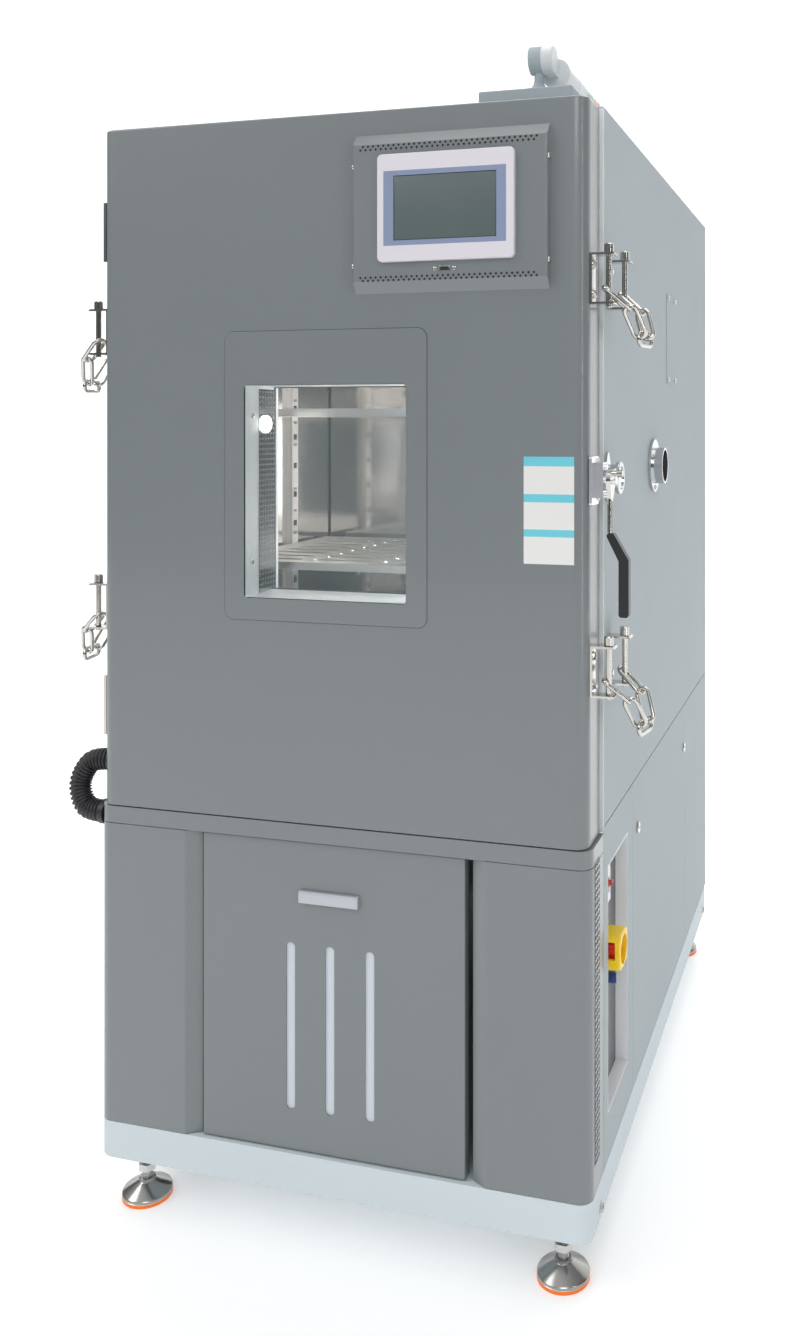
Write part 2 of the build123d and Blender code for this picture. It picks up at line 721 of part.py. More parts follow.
def door_hose():
    """Corrugated hose's plain tube: out of the band's gland, round and back into the door's gland."""
    points = [
        (-CASE_HALF - GLAND_LONG, at(HOSE_LOW_AT), HOSE_LOW_Z),
        (-418, at(HOSE_LOW_AT), HOSE_LOW_Z),
        (-432, at(27), HOSE_LOW_Z + 14),
        (-440, at(31), HOSE_LOW_Z + 38),
        (-432, at(36), HOSE_HIGH_Z - 14),
        (-418, at(HOSE_HIGH_AT), HOSE_HIGH_Z),
        (-DOOR_HALF - GLAND_LONG, at(HOSE_HIGH_AT), HOSE_HIGH_Z),
    ]
    corners = [Vector(*p) for p in points]
    radii = []
    for before, here, after in zip(corners, corners[1:], corners[2:]):
        turn = (here - before).get_angle(after - here)
        shorter = min((here - before).length, (after - here).length)
        radii.append(0.45 * shorter / math.tan(math.radians(turn) / 2))
    with BuildPart() as hose:
        with BuildLine():
            route = FilletPolyline(*points, radius=radii)
        with BuildSketch(Plane(origin=route @ 0, z_dir=route % 0)):
            Circle(HOSE_R)
        sweep()
    expected = math.pi * HOSE_R**2 * route.length
    print("hose radii", [round(r, 1) for r in radii], "length", round(route.length, 1))
    print("hose volume over section times length", round(hose.part.volume / expected, 4))
    save(hose.part, "door_hose")


def switch_recess():
    """Shallow tray let into the right side, with a narrow rim round its mouth."""
    face = CASE_HALF
    with BuildPart() as tray:
        block(face - RECESS_DEEP - 2, face - 0.2, RECESS_FRONT + 0.3, RECESS_BACK - 0.3,
              RECESS_BOTTOM + 0.3, RECESS_TOP - 0.3)
        block(face - RECESS_DEEP, face + 5, RECESS_FRONT + 2.3, RECESS_BACK - 2.3,
              RECESS_BOTTOM + 2.3, RECESS_TOP - 2.3, mode=Mode.SUBTRACT)
        round_x(face - RECESS_DEEP - 5, STOP_AT, STOP_Z, 9, 10, mode=Mode.SUBTRACT)
    save(tray.part, "switch_recess")


def switch_parts():
    """Breaker and socket bodies on the tray, with the toggle, emergency stop, its guard and the knob."""
    plate = CASE_HALF - RECESS_DEEP
    with BuildPart() as breaker:
        block(plate, plate + 14, 122, 150, 490, 542)
        fillet(breaker.edges().filter_by(Axis.Y).group_by(Axis.X)[-1], 2)
        block(plate + 4, plate + 20, 128, 144, 505, 527, mode=Mode.SUBTRACT)
    with BuildPart() as socket:
        block(plate, plate + 6, 118, 152, 292, 352)
        fillet(socket.edges().filter_by(Axis.X), 3)
        for step in (-8, 8):
            block(plate + 2, plate + 10, 135 + step - 2, 135 + step + 2, 306, 316, mode=Mode.SUBTRACT)
    save(Compound(children=[breaker.part, socket.part]), "switch_modules")
    with BuildPart() as toggle:
        with BuildSketch(Plane.XZ.offset(-at(130))):
            with Locations((plate + 10, 516)):
                Circle(4)
            with Locations((plate + 19, 522)):
                Circle(2)
            make_hull()
        extrude(amount=-12)
    save(toggle.part, "breaker_toggle")
    with BuildPart() as guard:
        with BuildSketch(Plane.YZ.offset(plate)):
            with Locations((at(STOP_AT), STOP_Z)):
                RectangleRounded(50, 50, 9)
        extrude(amount=35)
        fillet(guard.faces().sort_by(Axis.X)[-1].edges(), 3)
        round_x(plate + 4, STOP_AT, STOP_Z, 21, 40, mode=Mode.SUBTRACT)
        block(plate + 14, plate + 27, 110, 130, 414, 440, mode=Mode.SUBTRACT)
        block(plate + 14, plate + 27, 162, 180, 404, 440, mode=Mode.SUBTRACT)
        round_x(plate - 1, STOP_AT, STOP_Z, 8.3, 10, mode=Mode.SUBTRACT)
    save(guard.part, "estop_guard")
    with BuildPart() as button:
        round_x(plate + 3, STOP_AT, STOP_Z, 8, 13)
        round_x(plate + 16, STOP_AT, STOP_Z, 17, 14)
        fillet(button.faces().sort_by(Axis.X)[-1].edges(), 5)
    save(button.part, "estop_button")
    with BuildPart() as knob:
        round_x(plate + 6.2, 158, 372, 8, 12)
        block(plate + 17, plate + 21, 156, 160, 365, 379)
        round_x(plate + 0.2, 158, 372, 4, 7)
    save(knob.part, "selector_knob")


def service_panel():
    """Lift-off service panel low on the right side, with holes for its two locks."""
    low = PLINTH_TOP + 2
    high = CASE_SPLIT - 2
    with BuildPart() as panel:
        block(CASE_HALF - SHEET, CASE_HALF, SERVICE_FRONT + 1, SERVICE_BACK - 1, low, high)
        block(CASE_HALF - 14, CASE_HALF - 2, SERVICE_FRONT + 3, SERVICE_BACK - 3, low + 2, high - 2)
        block(CASE_HALF - 20, CASE_HALF - 2, SERVICE_FRONT + 5, SERVICE_BACK - 5, low + 4, high - 4,
              mode=Mode.SUBTRACT)
        for depth in (LOCK_FRONT_AT, LOCK_REAR_AT):
            round_x(CASE_HALF - 8, depth, LOCK_Z, LOCK_R + RUNNING, 16, mode=Mode.SUBTRACT)
    save(panel.part, "service_panel")
    for name, depth in (("service_lock_front", LOCK_FRONT_AT), ("service_lock_rear", LOCK_REAR_AT)):
        with BuildPart() as lock:
            round_x(CASE_HALF - 12, depth, LOCK_Z, LOCK_R, 12)
            round_x(CASE_HALF + 0.1, depth, LOCK_Z, 9, 3.5)
            chamfer(lock.faces().sort_by(Axis.X)[-1].edges(), 1)
            block(CASE_HALF + 1.6, CASE_HALF + 6, depth - 7, depth + 7, LOCK_Z - 1, LOCK_Z + 1,
                  mode=Mode.SUBTRACT)
            block(CASE_HALF - 15, CASE_HALF - 12, depth - 5, depth + 5, LOCK_Z - 6, LOCK_Z + 20)
        save(lock.part, name)


def access_panel():
    """Front access panel: folded tray with three long slots, its pull and its pivots' bores."""
    x_middle = (PANEL_LEFT + PANEL_RIGHT) / 2
    back = PANEL_FACE + PANEL_THICK
    with BuildPart() as panel:
        block(PANEL_LEFT, PANEL_RIGHT, PANEL_FACE, back, PANEL_BOTTOM, PANEL_TOP)
        fillet(panel.edges().filter_by(Axis.Z).group_by(Axis.Y)[0], 2)
        block(PANEL_LEFT + 16, PANEL_RIGHT - 2, PANEL_FACE + 2, back + 1, PANEL_BOTTOM + 10, PANEL_TOP - 10,
              mode=Mode.SUBTRACT)
        with BuildSketch(Plane.XZ.offset(-at(PANEL_FACE - 1))):
            with Locations((x_middle, 317)):
                with GridLocations(62, 1, 3, 1):
                    SlotOverall(242, 14, rotation=90)
        extrude(amount=-5, mode=Mode.SUBTRACT)
        for start in (PANEL_BOTTOM, PANEL_TOP - 8):
            round_z(PANEL_PIVOT_X, PANEL_PIVOT_AT, start, 2.5 + RUNNING, 8, mode=Mode.SUBTRACT)
    with BuildPart() as backing:
        block(x_middle - 95, x_middle + 95, PANEL_FACE + 2.2, PANEL_FACE + 4, 180, 455)
    with BuildPart() as pull:
        block(x_middle - 46, x_middle + 46, PANEL_FACE - 7, PANEL_FACE, 498, 516)
        fillet(pull.edges().filter_by(Axis.X).group_by(Axis.Y)[0], 3)
        block(x_middle - 42, x_middle + 42, PANEL_FACE - 5, PANEL_FACE + 1, 495, 513, mode=Mode.SUBTRACT)
    save(Compound(children=[panel.part, backing.part, pull.part]), "access_panel")


def stack_light():
    """Folding stack light: mounting box and base on the roof, lamp body and two lenses that fold up."""
    with BuildPart() as mount:
        block(189, 331, 100, 200, CASE_TOP, STACK_TOP)
        fillet(mount.edges().filter_by(Axis.Z), 4)
        fillet(mount.faces().sort_by(Axis.Z)[-1].edges(), 1.5)
    with BuildPart() as base:
        with BuildSketch(Plane.XZ.offset(-at(STACK_AT))):
            with BuildLine():
                Polyline((STACK_X, STACK_TOP), (STACK_X + 34, STACK_TOP), (STACK_X + 34, STACK_TOP + 3),
                         (STACK_X + 28, STACK_TOP + 7), (STACK_X + 17, STACK_TOP + 9))
                ThreePointArc((STACK_X + 17, STACK_TOP + 9), (STACK_X + 11, STACK_TOP + 14),
                              (STACK_X + 7, STACK_TOP + 24))
                Polyline((STACK_X + 7, STACK_TOP + 24), (STACK_X + 7, KNUCKLE_Z - 8),
                         (STACK_X, KNUCKLE_Z - 8), (STACK_X, STACK_TOP))
            make_face()
        revolve(axis=Axis((STACK_X, at(STACK_AT), 0), (0, 0, 1)))
        round_x(STACK_X - 12, STACK_AT, KNUCKLE_Z, KNUCKLE_R, 19)
        fillet(base.edges().sort_by(Axis.X)[0], 2)
        round_x(STACK_X + 7, STACK_AT, KNUCKLE_Z, 5, 17.5)
    save(Compound(children=[mount.part, base.part]), "stack_base")
    with BuildPart() as lamp:
        round_x(STACK_X + 7.3, STACK_AT, KNUCKLE_Z, KNUCKLE_R, 17.7)
        fillet(lamp.edges().sort_by(Axis.X)[-1], 3)
        block(STACK_X + 9, STACK_X + 24, STACK_AT, LAMP_START + 2, KNUCKLE_Z - 20, KNUCKLE_Z - 2)
        round_y(LAMP_X, LAMP_START, LAMP_Z, LAMP_R, 66)
        round_y(LAMP_X, LAMP_START + 66, LAMP_Z, LAMP_R - 3, 128)
        round_y(LAMP_X, LAMP_START + 194, LAMP_Z, LAMP_R, 33)
        fillet(lamp.edges().sort_by(Axis.Y)[-1], 5)
        round_y(LAMP_X, LAMP_START + 66, LAMP_Z, LAMP_R, 41)
        round_x(STACK_X + 7, STACK_AT, KNUCKLE_Z, 5 + RUNNING, 17.5, mode=Mode.SUBTRACT)
    save(lamp.part, "stack_lamp")
    lenses = []
    for start in (LAMP_START + 107.2, LAMP_START + 150.8):
        with BuildPart() as lens:
            round_y(LAMP_X, start, LAMP_Z, LAMP_R, 43)
            round_y(LAMP_X, start - 1, LAMP_Z, LAMP_R - 2.8, 46, mode=Mode.SUBTRACT)
        lenses.append(lens.part)
    save(Compound(children=lenses), "stack_lenses")


def door_shell():
    """Outer door shell with rounded front edges, open at the back, with the window's opening."""
    with BuildPart() as shell:
        with BuildSketch(Plane.XY.offset(DOOR_BOTTOM)) as plan:
            with Locations((0, at(DOOR_THICK / 2))):
                Rectangle(2 * DOOR_HALF, DOOR_THICK)
            fillet(plan.vertices().group_by(Axis.Y)[0], CORNER)
        extrude(amount=DOOR_TOP - DOOR_BOTTOM)
        fillet(shell.faces().sort_by(Axis.Z)[-1].edges().group_by(Axis.Y)[0], 3)
        with BuildSketch(Plane.XY.offset(DOOR_BOTTOM + 2)) as inner:
            with Locations((0, at(2 + (DOOR_THICK - 2) / 2))):
                Rectangle(2 * DOOR_HALF - 4, DOOR_THICK - 2)
            fillet(inner.vertices().group_by(Axis.Y)[0], CORNER - 2)
        extrude(amount=DOOR_TOP - DOOR_BOTTOM - 4, mode=Mode.SUBTRACT)
        block(WINDOW_X - GLASS_W / 2, WINDOW_X + GLASS_W / 2, -5, 10, WINDOW_Z - GLASS_H / 2,
              WINDOW_Z + GLASS_H / 2, mode=Mode.SUBTRACT)
    with BuildPart() as gland:
        round_x(-DOOR_HALF - GLAND_LONG, HOSE_HIGH_AT, HOSE_HIGH_Z, GLAND_R, GLAND_LONG)
        chamfer(gland.faces().sort_by(Axis.X)[0].edges(), 1)
    save(Compound(children=[shell.part, gland.part]), "door_shell")


def door_liner():
    """Inner door pan with the raised plug that fills the chamber's mouth."""
    half = SPACE_HALF - 13
    low = SPACE_BOTTOM + 13
    high = SPACE_TOP - 13
    with BuildPart() as liner:
        block(-DOOR_HALF + 4, DOOR_HALF - 4, DOOR_THICK - 2, DOOR_THICK, DOOR_BOTTOM + 4, DOOR_TOP - 4)
        block(-half, half, DOOR_THICK, 100, low, high)
        fillet(liner.faces().sort_by(Axis.Y)[-1].edges(), 6)
        block(-half + 2, half - 2, DOOR_THICK - 5, 98, low + 2, high - 2, mode=Mode.SUBTRACT)
        block(WINDOW_X - GLASS_W / 2, WINDOW_X + GLASS_W / 2, 60, 110, WINDOW_Z - GLASS_H / 2,
              WINDOW_Z + GLASS_H / 2, mode=Mode.SUBTRACT)
    save(liner.part, "door_liner")


def door_gasket():
    """Hollow-looking seal ring on the door's back, just clear of the case when shut."""
    with BuildPart() as seal:
        with BuildSketch(Plane.XZ.offset(-at(DOOR_THICK))):
            with Locations((0, (SPACE_BOTTOM + SPACE_TOP) / 2)):
                RectangleRounded(2 * SPACE_HALF + 50, SPACE_TOP - SPACE_BOTTOM + 50, 20)
                RectangleRounded(2 * SPACE_HALF + 10, SPACE_TOP - SPACE_BOTTOM + 10, 8, mode=Mode.SUBTRACT)
        extrude(amount=-5.6)
    save(seal.part, "door_gasket")


def window_parts():
    """Cover frame on the door's face, the tunnel through the door, and its outer and inner pane."""
    with BuildPart() as frame:
        with BuildSketch(Plane.XZ.offset(-at(-1.5))):
            with Locations((WINDOW_X, FRAME_Z)):
                RectangleRounded(FRAME_W, FRAME_H, 14)
            with Locations((WINDOW_X, WINDOW_Z)):
                RectangleRounded(GLASS_W - 4, GLASS_H - 4, 6, mode=Mode.SUBTRACT)
        extrude(amount=-1.5)
        chamfer(frame.faces().sort_by(Axis.Y)[0].outer_wire().edges(), 1)
    save(frame.part, "window_frame")
    panes = []
    for start in (3, 92):
        with BuildPart() as pane:
            with BuildSketch(Plane.XZ.offset(-at(start))):
                with Locations((WINDOW_X, WINDOW_Z)):
                    Rectangle(GLASS_W - 5, GLASS_H - 5)
            extrude(amount=-5)
        panes.append(pane.part)
    save(Compound(children=panes), "window_glass")
    with BuildPart() as tunnel:
        with BuildSketch(Plane.XZ.offset(-at(2))):
            with Locations((WINDOW_X, WINDOW_Z)):
                Rectangle(GLASS_W - 0.6, GLASS_H - 0.6)
                Rectangle(GLASS_W - 4.6, GLASS_H - 4.6, mode=Mode.SUBTRACT)
        extrude(amount=-99)
    save(tunnel.part, "window_tunnel")


def control_parts():
    """Raised control cover with slanted top and bottom, and the touch panel set in it."""
    left = 41
    right = 326
    low = 1372
    high = 1596
    with BuildPart() as cover:
        with BuildSketch(Plane.YZ.offset(left)):
            with BuildLine():
                Polyline((at(0), low), (at(-12), low + 16), (at(-12), high - 16), (at(0), high), close=True)
            make_face()
        extrude(amount=right - left)
        fillet(cover.faces().sort_by(Axis.Y)[0].edges().filter_by(Axis.Z), 3)
        block(86, 276, -13, -4, 1418, 1560, mode=Mode.SUBTRACT)
        block(left + 3, right - 3, -9, 1, low + 20, 1414, mode=Mode.SUBTRACT)
        block(left + 3, right - 3, -9, 1, 1564, high - 20, mode=Mode.SUBTRACT)
    save(cover.part, "control_cover")
    with BuildPart() as panel:
        block(86.3, 275.7, -13, -4.1, 1418.3, 1559.7)
        with BuildSketch(Plane.XZ.offset(-at(-19.5))):
            with Locations((181, 1489)):
                RectangleRounded(200, 150, 7)
        extrude(amount=-7.4)
        fillet(panel.faces().sort_by(Axis.Y)[0].edges(), 2)
        block(106, 256, -25, -18.5, 1443, 1533, mode=Mode.SUBTRACT)
    save(panel.part, "touch_panel")


def latch_parts():
    """Edge latch: housing on the door's side, and a lever with two rods, hook and bent rubber grip."""
    face = DOOR_HALF
    with BuildPart() as body:
        block(face, face + 4, LATCH_AT - 20, LATCH_AT + 22, LATCH_Z - 34, LATCH_Z + 32)
        fillet(body.edges().filter_by(Axis.X), 3)
        block(face + 4, face + 18, LATCH_AT - 14, LATCH_AT + 12, LATCH_Z - 24, LATCH_Z + 24)
        round_x(face + 18, LATCH_AT, LATCH_Z, 6, 16)
        for level in (LATCH_Z - 17, LATCH_Z + 17):
            round_x(face + 18, LATCH_AT, level, 5, 3)
    save(body.part, "latch_body")
    with BuildPart() as lever:
        with BuildSketch(Plane.YZ.offset(LEVER_X - 3)):
            with Locations((at(LATCH_AT), LATCH_Z)):
                Circle(13)
            with Locations((at(LATCH_AT + 22), LATCH_Z + 8)):
                Circle(7)
            with Locations((at(LATCH_AT), LATCH_Z - 22)):
                Circle(7)
            make_hull()
        extrude(amount=6)
        round_x(LEVER_X + 3, LATCH_AT + 22, LATCH_Z + 8, 5, 10)
        for depth in (LATCH_AT - 3.5, LATCH_AT + 3.5):
            round_z(LEVER_X, depth, LATCH_Z - 72, 3, 52)
        round_x(LEVER_X - 5, LATCH_AT, LATCH_Z, 6 + RUNNING, 10, mode=Mode.SUBTRACT)
    save(lever.part, "latch_lever")
    with BuildPart() as grip:
        with BuildSketch(Plane.XZ.offset(-at(LATCH_AT - 7))):
            with BuildLine():
                Polyline(
                    (LEVER_X - 6, LATCH_Z - 72), (LEVER_X + 6, LATCH_Z - 72),
                    (LEVER_X + 27, LATCH_Z - 108), (LEVER_X + 27, LATCH_Z - 186),
                    (LEVER_X + 13, LATCH_Z - 186), (LEVER_X + 13, LATCH_Z - 110), close=True,
                )
            make_face()
        extrude(amount=-14)
        fillet(grip.edges().filter_by(Axis.Y), 4)
    save(grip.part, "latch_grip")


def main():
    """Builds and writes every piece."""
    base_plinth()
    for name, x in (("front_fork_left", -CASTER_X), ("front_fork_right", CASTER_X)):
        save(caster_fork(x, CASTER_FRONT_AT, 1), name)
    for name, x in (("left", -CASTER_X), ("right", CASTER_X)):
        caster_wheel(f"front_wheel_{name}", x, CASTER_FRONT_AT, 1)
        caster_wheel(f"rear_wheel_{name}", x, CASTER_REAR_AT, 1)
    levelling_feet()
    upper_sides()
    roof_panel()
    front_frame()
    back_panel()
    lower_sides()
    lower_posts()
    header_band()
    chamber_liner()
    insulation()
    shelf_rack()
    air_baffle()
    circulation_fan()
    fan_motor()
    coil_and_heater()
    compressor()
    condenser()
    condenser_fan()
    cable_port()
    cable_glands()
    latch_keeper()
    hinges()
    chain_sets()
    door_hose()
    switch_recess()
    switch_parts()
    service_panel()
    access_panel()
    stack_light()
    door_shell()
    door_liner()
    door_gasket()
    window_parts()
    control_parts()
    latch_parts()


main()
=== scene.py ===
"""Looks of the environmental test chamber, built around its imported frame."""

import math

import bmesh
import bpy
from bpy.props import FloatProperty, FloatVectorProperty, IntProperty, PointerProperty
from mathutils import Matrix, Vector


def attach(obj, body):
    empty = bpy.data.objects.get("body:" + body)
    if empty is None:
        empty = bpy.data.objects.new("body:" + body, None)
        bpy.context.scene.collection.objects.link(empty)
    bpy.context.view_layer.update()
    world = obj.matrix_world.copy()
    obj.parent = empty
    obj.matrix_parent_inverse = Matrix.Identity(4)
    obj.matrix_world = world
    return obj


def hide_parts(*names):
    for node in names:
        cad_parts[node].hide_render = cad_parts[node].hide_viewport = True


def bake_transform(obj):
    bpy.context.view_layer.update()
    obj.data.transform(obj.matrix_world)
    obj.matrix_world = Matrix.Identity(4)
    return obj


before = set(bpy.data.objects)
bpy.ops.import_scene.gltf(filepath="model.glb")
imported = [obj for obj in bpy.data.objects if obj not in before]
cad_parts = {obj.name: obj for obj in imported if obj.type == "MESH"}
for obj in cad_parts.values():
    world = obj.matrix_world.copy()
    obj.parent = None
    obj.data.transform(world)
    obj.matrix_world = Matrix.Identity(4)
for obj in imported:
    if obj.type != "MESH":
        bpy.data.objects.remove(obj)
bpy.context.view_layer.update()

bl_info = {
    "name": "Test chamber looks",
    "version": (1, 0, 0),
    "blender": (4, 5, 0),
    "location": "View3D > Sidebar > Chamber",
    "description": "Finishes and detail pieces for an upright environmental test chamber",
    "category": "Object",
}

# Places taken over from the model, in millimetres
DOOR_FRONT = -567.5
CASE_HALF = 383.0
DOOR_HALF = 378.0
CHAIN_OUT = 24.0
CHAIN_LEVELS = (852.0, 1386.0)
CHAIN_DROP_LEFT = 57.0
CHAIN_DOOR_AT = 26.0
CHAIN_CASE_AT = 108.0
BRACKET_TALL = 70.0
LINK_LONG = 48.0
LINK_HALF = 8.5
LINK_BITE = 6.0
FEET = ((-332, 50), (332, 50), (-332, 1085), (332, 1085))
X_AXIS = Vector((1, 0, 0))
Y_AXIS = Vector((0, 1, 0))
Z_AXIS = Vector((0, 0, 1))


def place(x, depth, z):
    """Point in metres from a place in millimetres: x, depth behind the door's front, height."""
    return Vector((x / 1000, (DOOR_FRONT + depth) / 1000, z / 1000))


def colour_setting(name, description, default):
    """A colour that the panel shows."""
    return FloatVectorProperty(name=name, description=description, subtype="COLOR",
                               default=default, min=0, max=1)


def length_setting(name, description, default, low, high):
    """A length in metres that the panel shows."""
    return FloatProperty(name=name, description=description, subtype="DISTANCE", unit="LENGTH",
                         default=default, min=low, max=high)


class ChamberColours(bpy.types.PropertyGroup):
    """Colours of the painted and moulded finishes."""

    dark_paint: colour_setting("Dark paint", "Door, posts and access panel", (0.190, 0.212, 0.220))
    # Painted shade: this is the darker, shaded copy of the one light paint; the plinth gets a lit copy 1.55
    # times lighter.
    light_paint: colour_setting("Light paint", "Side panels, roof and base", (0.41, 0.462, 0.487))
    foot_pad: colour_setting("Foot pad", "Soft pads under the levelling feet", (1.0, 0.21, 0.01))
    guard: colour_setting("Guard", "Emergency stop guard", (0.95, 0.66, 0.01))


class ChamberSizes(bpy.types.PropertyGroup):
    """Sizes of the repeated small pieces."""

    hose_radius: length_setting("Hose radius", "Outer radius of the corrugated hose", 0.0168, 0.005, 0.03)
    hose_pitch: length_setting("Hose pitch", "Distance from one corrugation to the next", 0.0062, 0.002, 0.02)
    link_wire: length_setting("Link wire", "Radius of the chain links' wire", 0.0031, 0.001, 0.005)
    screw_head: length_setting("Screw head", "Radius of a pan screw's head", 0.0042, 0.001, 0.01)
    vent_pitch: length_setting("Vent pitch", "Distance between the post's round perforations",
                               0.009, 0.003, 0.02)
    thread_pitch: length_setting("Thread pitch", "Distance between the threads on a foot's stud",
                                 0.002, 0.001, 0.004)
    link_steps: IntProperty(
        name="Link steps", description="Sides of each bend of a chain link", default=8, min=4, max=16,
    )



def sizes():
    """The size settings."""
    return bpy.context.scene.chamber_sizes


def colours():
    """The colour settings."""
    return bpy.context.scene.chamber_colours


# Nodes: helpers, then the groups that several finishes share


def fill(tree, node, inputs):
    """Gives each named or numbered input of a node its value, or a link from an output."""
    for key, value in inputs.items():
        if isinstance(value, bpy.types.NodeSocket):
            tree.links.new(value, node.inputs[key])
        else:
            node.inputs[key].default_value = value


def add_node(tree, kind, inputs, **properties):
    """Adds a node with its properties and its inputs."""
    node = tree.nodes.new(kind)
    for name, value in properties.items():
        setattr(node, name, value)
    fill(tree, node, inputs)
    return node


def product(tree, first, second):
    """Product of two values."""
    return add_node(tree, "ShaderNodeMath", {0: first, 1: second}, operation="MULTIPLY").outputs[0]


def mix_values(tree, factor, first, second):
    """Value between two values."""
    return add_node(tree, "ShaderNodeMix", {0: factor, 2: first, 3: second}).outputs[0]


def mix_colours(tree, factor, first, second):
    """Colour between two colours."""
    return add_node(tree, "ShaderNodeMix", {0: factor, 6: first, 7: second}, data_type="RGBA").outputs[2]


def map_range(tree, value, source, target):
    """A value moved from the source range, (low, high), to the target range."""
    inputs = {"Value": value, "From Min": source[0], "From Max": source[1],
              "To Min": target[0], "To Max": target[1]}
    return add_node(tree, "ShaderNodeMapRange", inputs).outputs["Result"]


def parts_of(tree, vector):
    """The X, Y and Z outputs of a split vector."""
    return add_node(tree, "ShaderNodeSeparateXYZ", {0: vector}).outputs


def noise(tree, where, scale, detail=2):
    """Noise factor at a place."""
    inputs = {"Vector": where, "Scale": scale, "Detail": detail}
    return add_node(tree, "ShaderNodeTexNoise", inputs).outputs["Fac"]


def shared_group(name, inputs, outputs, build, kind="ShaderNodeTree"):
    """The node group of this name, built the first time. build returns what each output is linked from."""
    if name in bpy.data.node_groups:
        return bpy.data.node_groups[name]
    tree = bpy.data.node_groups.new(name, kind)
    for label, socket_kind, default in inputs:
        socket = tree.interface.new_socket(label, in_out="INPUT", socket_type=socket_kind)
        if default is not None:
            socket.default_value = default
    for label, socket_kind in outputs:
        tree.interface.new_socket(label, in_out="OUTPUT", socket_type=socket_kind)
    given = tree.nodes.new("NodeGroupInput").outputs
    end = tree.nodes.new("NodeGroupOutput")
    fill(tree, end, build(tree, given))
    return tree


def colour_drift():
    """Group: slow change between two colours, with fine speckle over it."""
    speckle_share = 0.35

    def build(tree, given):
        slow = noise(tree, given["Position"], given["Scale"], 4)
        fine = noise(tree, given["Position"], given["Speckle"])
        both = mix_values(tree, speckle_share, slow, fine)
        return {"Colour": mix_colours(tree, both, given["First"], given["Second"])}

    inputs = (
        ("Position", "NodeSocketVector", None),
        ("First", "NodeSocketColor", (0.5, 0.5, 0.5, 1)),
        ("Second", "NodeSocketColor", (0.6, 0.6, 0.6, 1)),
        ("Scale", "NodeSocketFloat", 3.0),
        ("Speckle", "NodeSocketFloat", 600.0),
    )
    return shared_group("Colour drift", inputs, (("Colour", "NodeSocketColor"),), build)


def grain():
    """Group: fine even grain as a height, and a roughness between two limits that follows it."""
    broad_scale = 9

    def build(tree, given):
        place_in = {0: given["Position"], 1: given["Stretch"]}
        stretched = add_node(tree, "ShaderNodeVectorMath", place_in, operation="MULTIPLY").outputs[0]
        fine = noise(tree, stretched, given["Scale"], 3)
        broad = noise(tree, given["Position"], broad_scale)
        mean_in = {0: broad, 1: 0.5, 2: product(tree, fine, 0.5)}
        mean = add_node(tree, "ShaderNodeMath", mean_in, operation="MULTIPLY_ADD").outputs[0]
        rough = map_range(tree, mean, (0.3, 0.7), (given["Rough low"], given["Rough high"]))
        return {"Height": fine, "Roughness": rough}

    inputs = (
        ("Position", "NodeSocketVector", None),
        ("Stretch", "NodeSocketVector", (1, 1, 1)),
        ("Scale", "NodeSocketFloat", 900.0),
        ("Rough low", "NodeSocketFloat", 0.35),
        ("Rough high", "NodeSocketFloat", 0.5),
    )
    outputs = (("Height", "NodeSocketFloat"), ("Roughness", "NodeSocketFloat"))
    return shared_group("Grain", inputs, outputs, build)


def dust():
    """Group: thin dust that gathers low down and in patches."""
    dust_colour = (0.55, 0.53, 0.49, 1)
    high_share = 0.15

    def build(tree, given):
        low = map_range(tree, parts_of(tree, given["Position"])["Z"], (0, given["Reach"]), (1, high_share))
        patches = noise(tree, given["Position"], 14, 6)
        amount = product(tree, product(tree, low, patches), given["Amount"])
        return {"Colour": mix_colours(tree, amount, given["Colour"], dust_colour)}

    inputs = (
        ("Position", "NodeSocketVector", None),
        ("Colour", "NodeSocketColor", (0.5, 0.5, 0.5, 1)),
        ("Amount", "NodeSocketFloat", 0.1),
        ("Reach", "NodeSocketFloat", 0.35),
    )
    return shared_group("Dust", inputs, (("Colour", "NodeSocketColor"),), build)


def inside_box():
    """Group: 1 inside a box given by its low and high corner, and 0 outside."""

    def build(tree, given):
        mask = None
        for corner, operation in (("Low", "GREATER_THAN"), ("High", "LESS_THAN")):
            spot, limit = parts_of(tree, given["Position"]), parts_of(tree, given[corner])
            for axis in "XYZ":
                sides = {0: spot[axis], 1: limit[axis]}
                test = add_node(tree, "ShaderNodeMath", sides, operation=operation).outputs[0]
                mask = test if mask is None else product(tree, mask, test)
        return {"Mask": mask}

    inputs = (
        ("Position", "NodeSocketVector", None),
        ("Low", "NodeSocketVector", (0, 0, 0)),
        ("High", "NodeSocketVector", (1, 1, 1)),
    )
    return shared_group("Inside box", inputs, (("Mask", "NodeSocketFloat"),), build)


# Finishes


def new_finish(name):
    """A new material, its tree, its shader, and the object's own coordinates.

    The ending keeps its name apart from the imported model's own plain materials.
    """
    material = bpy.data.materials.new(name + "_finish")
    material.use_nodes = True
    tree = material.node_tree
    where = tree.nodes.new("ShaderNodeTexCoord").outputs["Object"]
    return material, tree, tree.nodes["Principled BSDF"], where


def mats(name):
    """A finish by name."""
    return bpy.data.materials[name + "_finish"]


def use(tree, group, where, **values):
    """Places a node group in a material at the given coordinates, sets its inputs, returns its outputs."""
    inputs = {name.replace("_", " ").capitalize(): value for name, value in values.items()}
    return add_node(tree, "ShaderNodeGroup", {"Position": where, **inputs}, node_tree=group).outputs


def four(colour, share=1.0):
    """A colour as four numbers, made darker or lighter by a share."""
    return (colour[0] * share, colour[1] * share, colour[2] * share, 1.0)


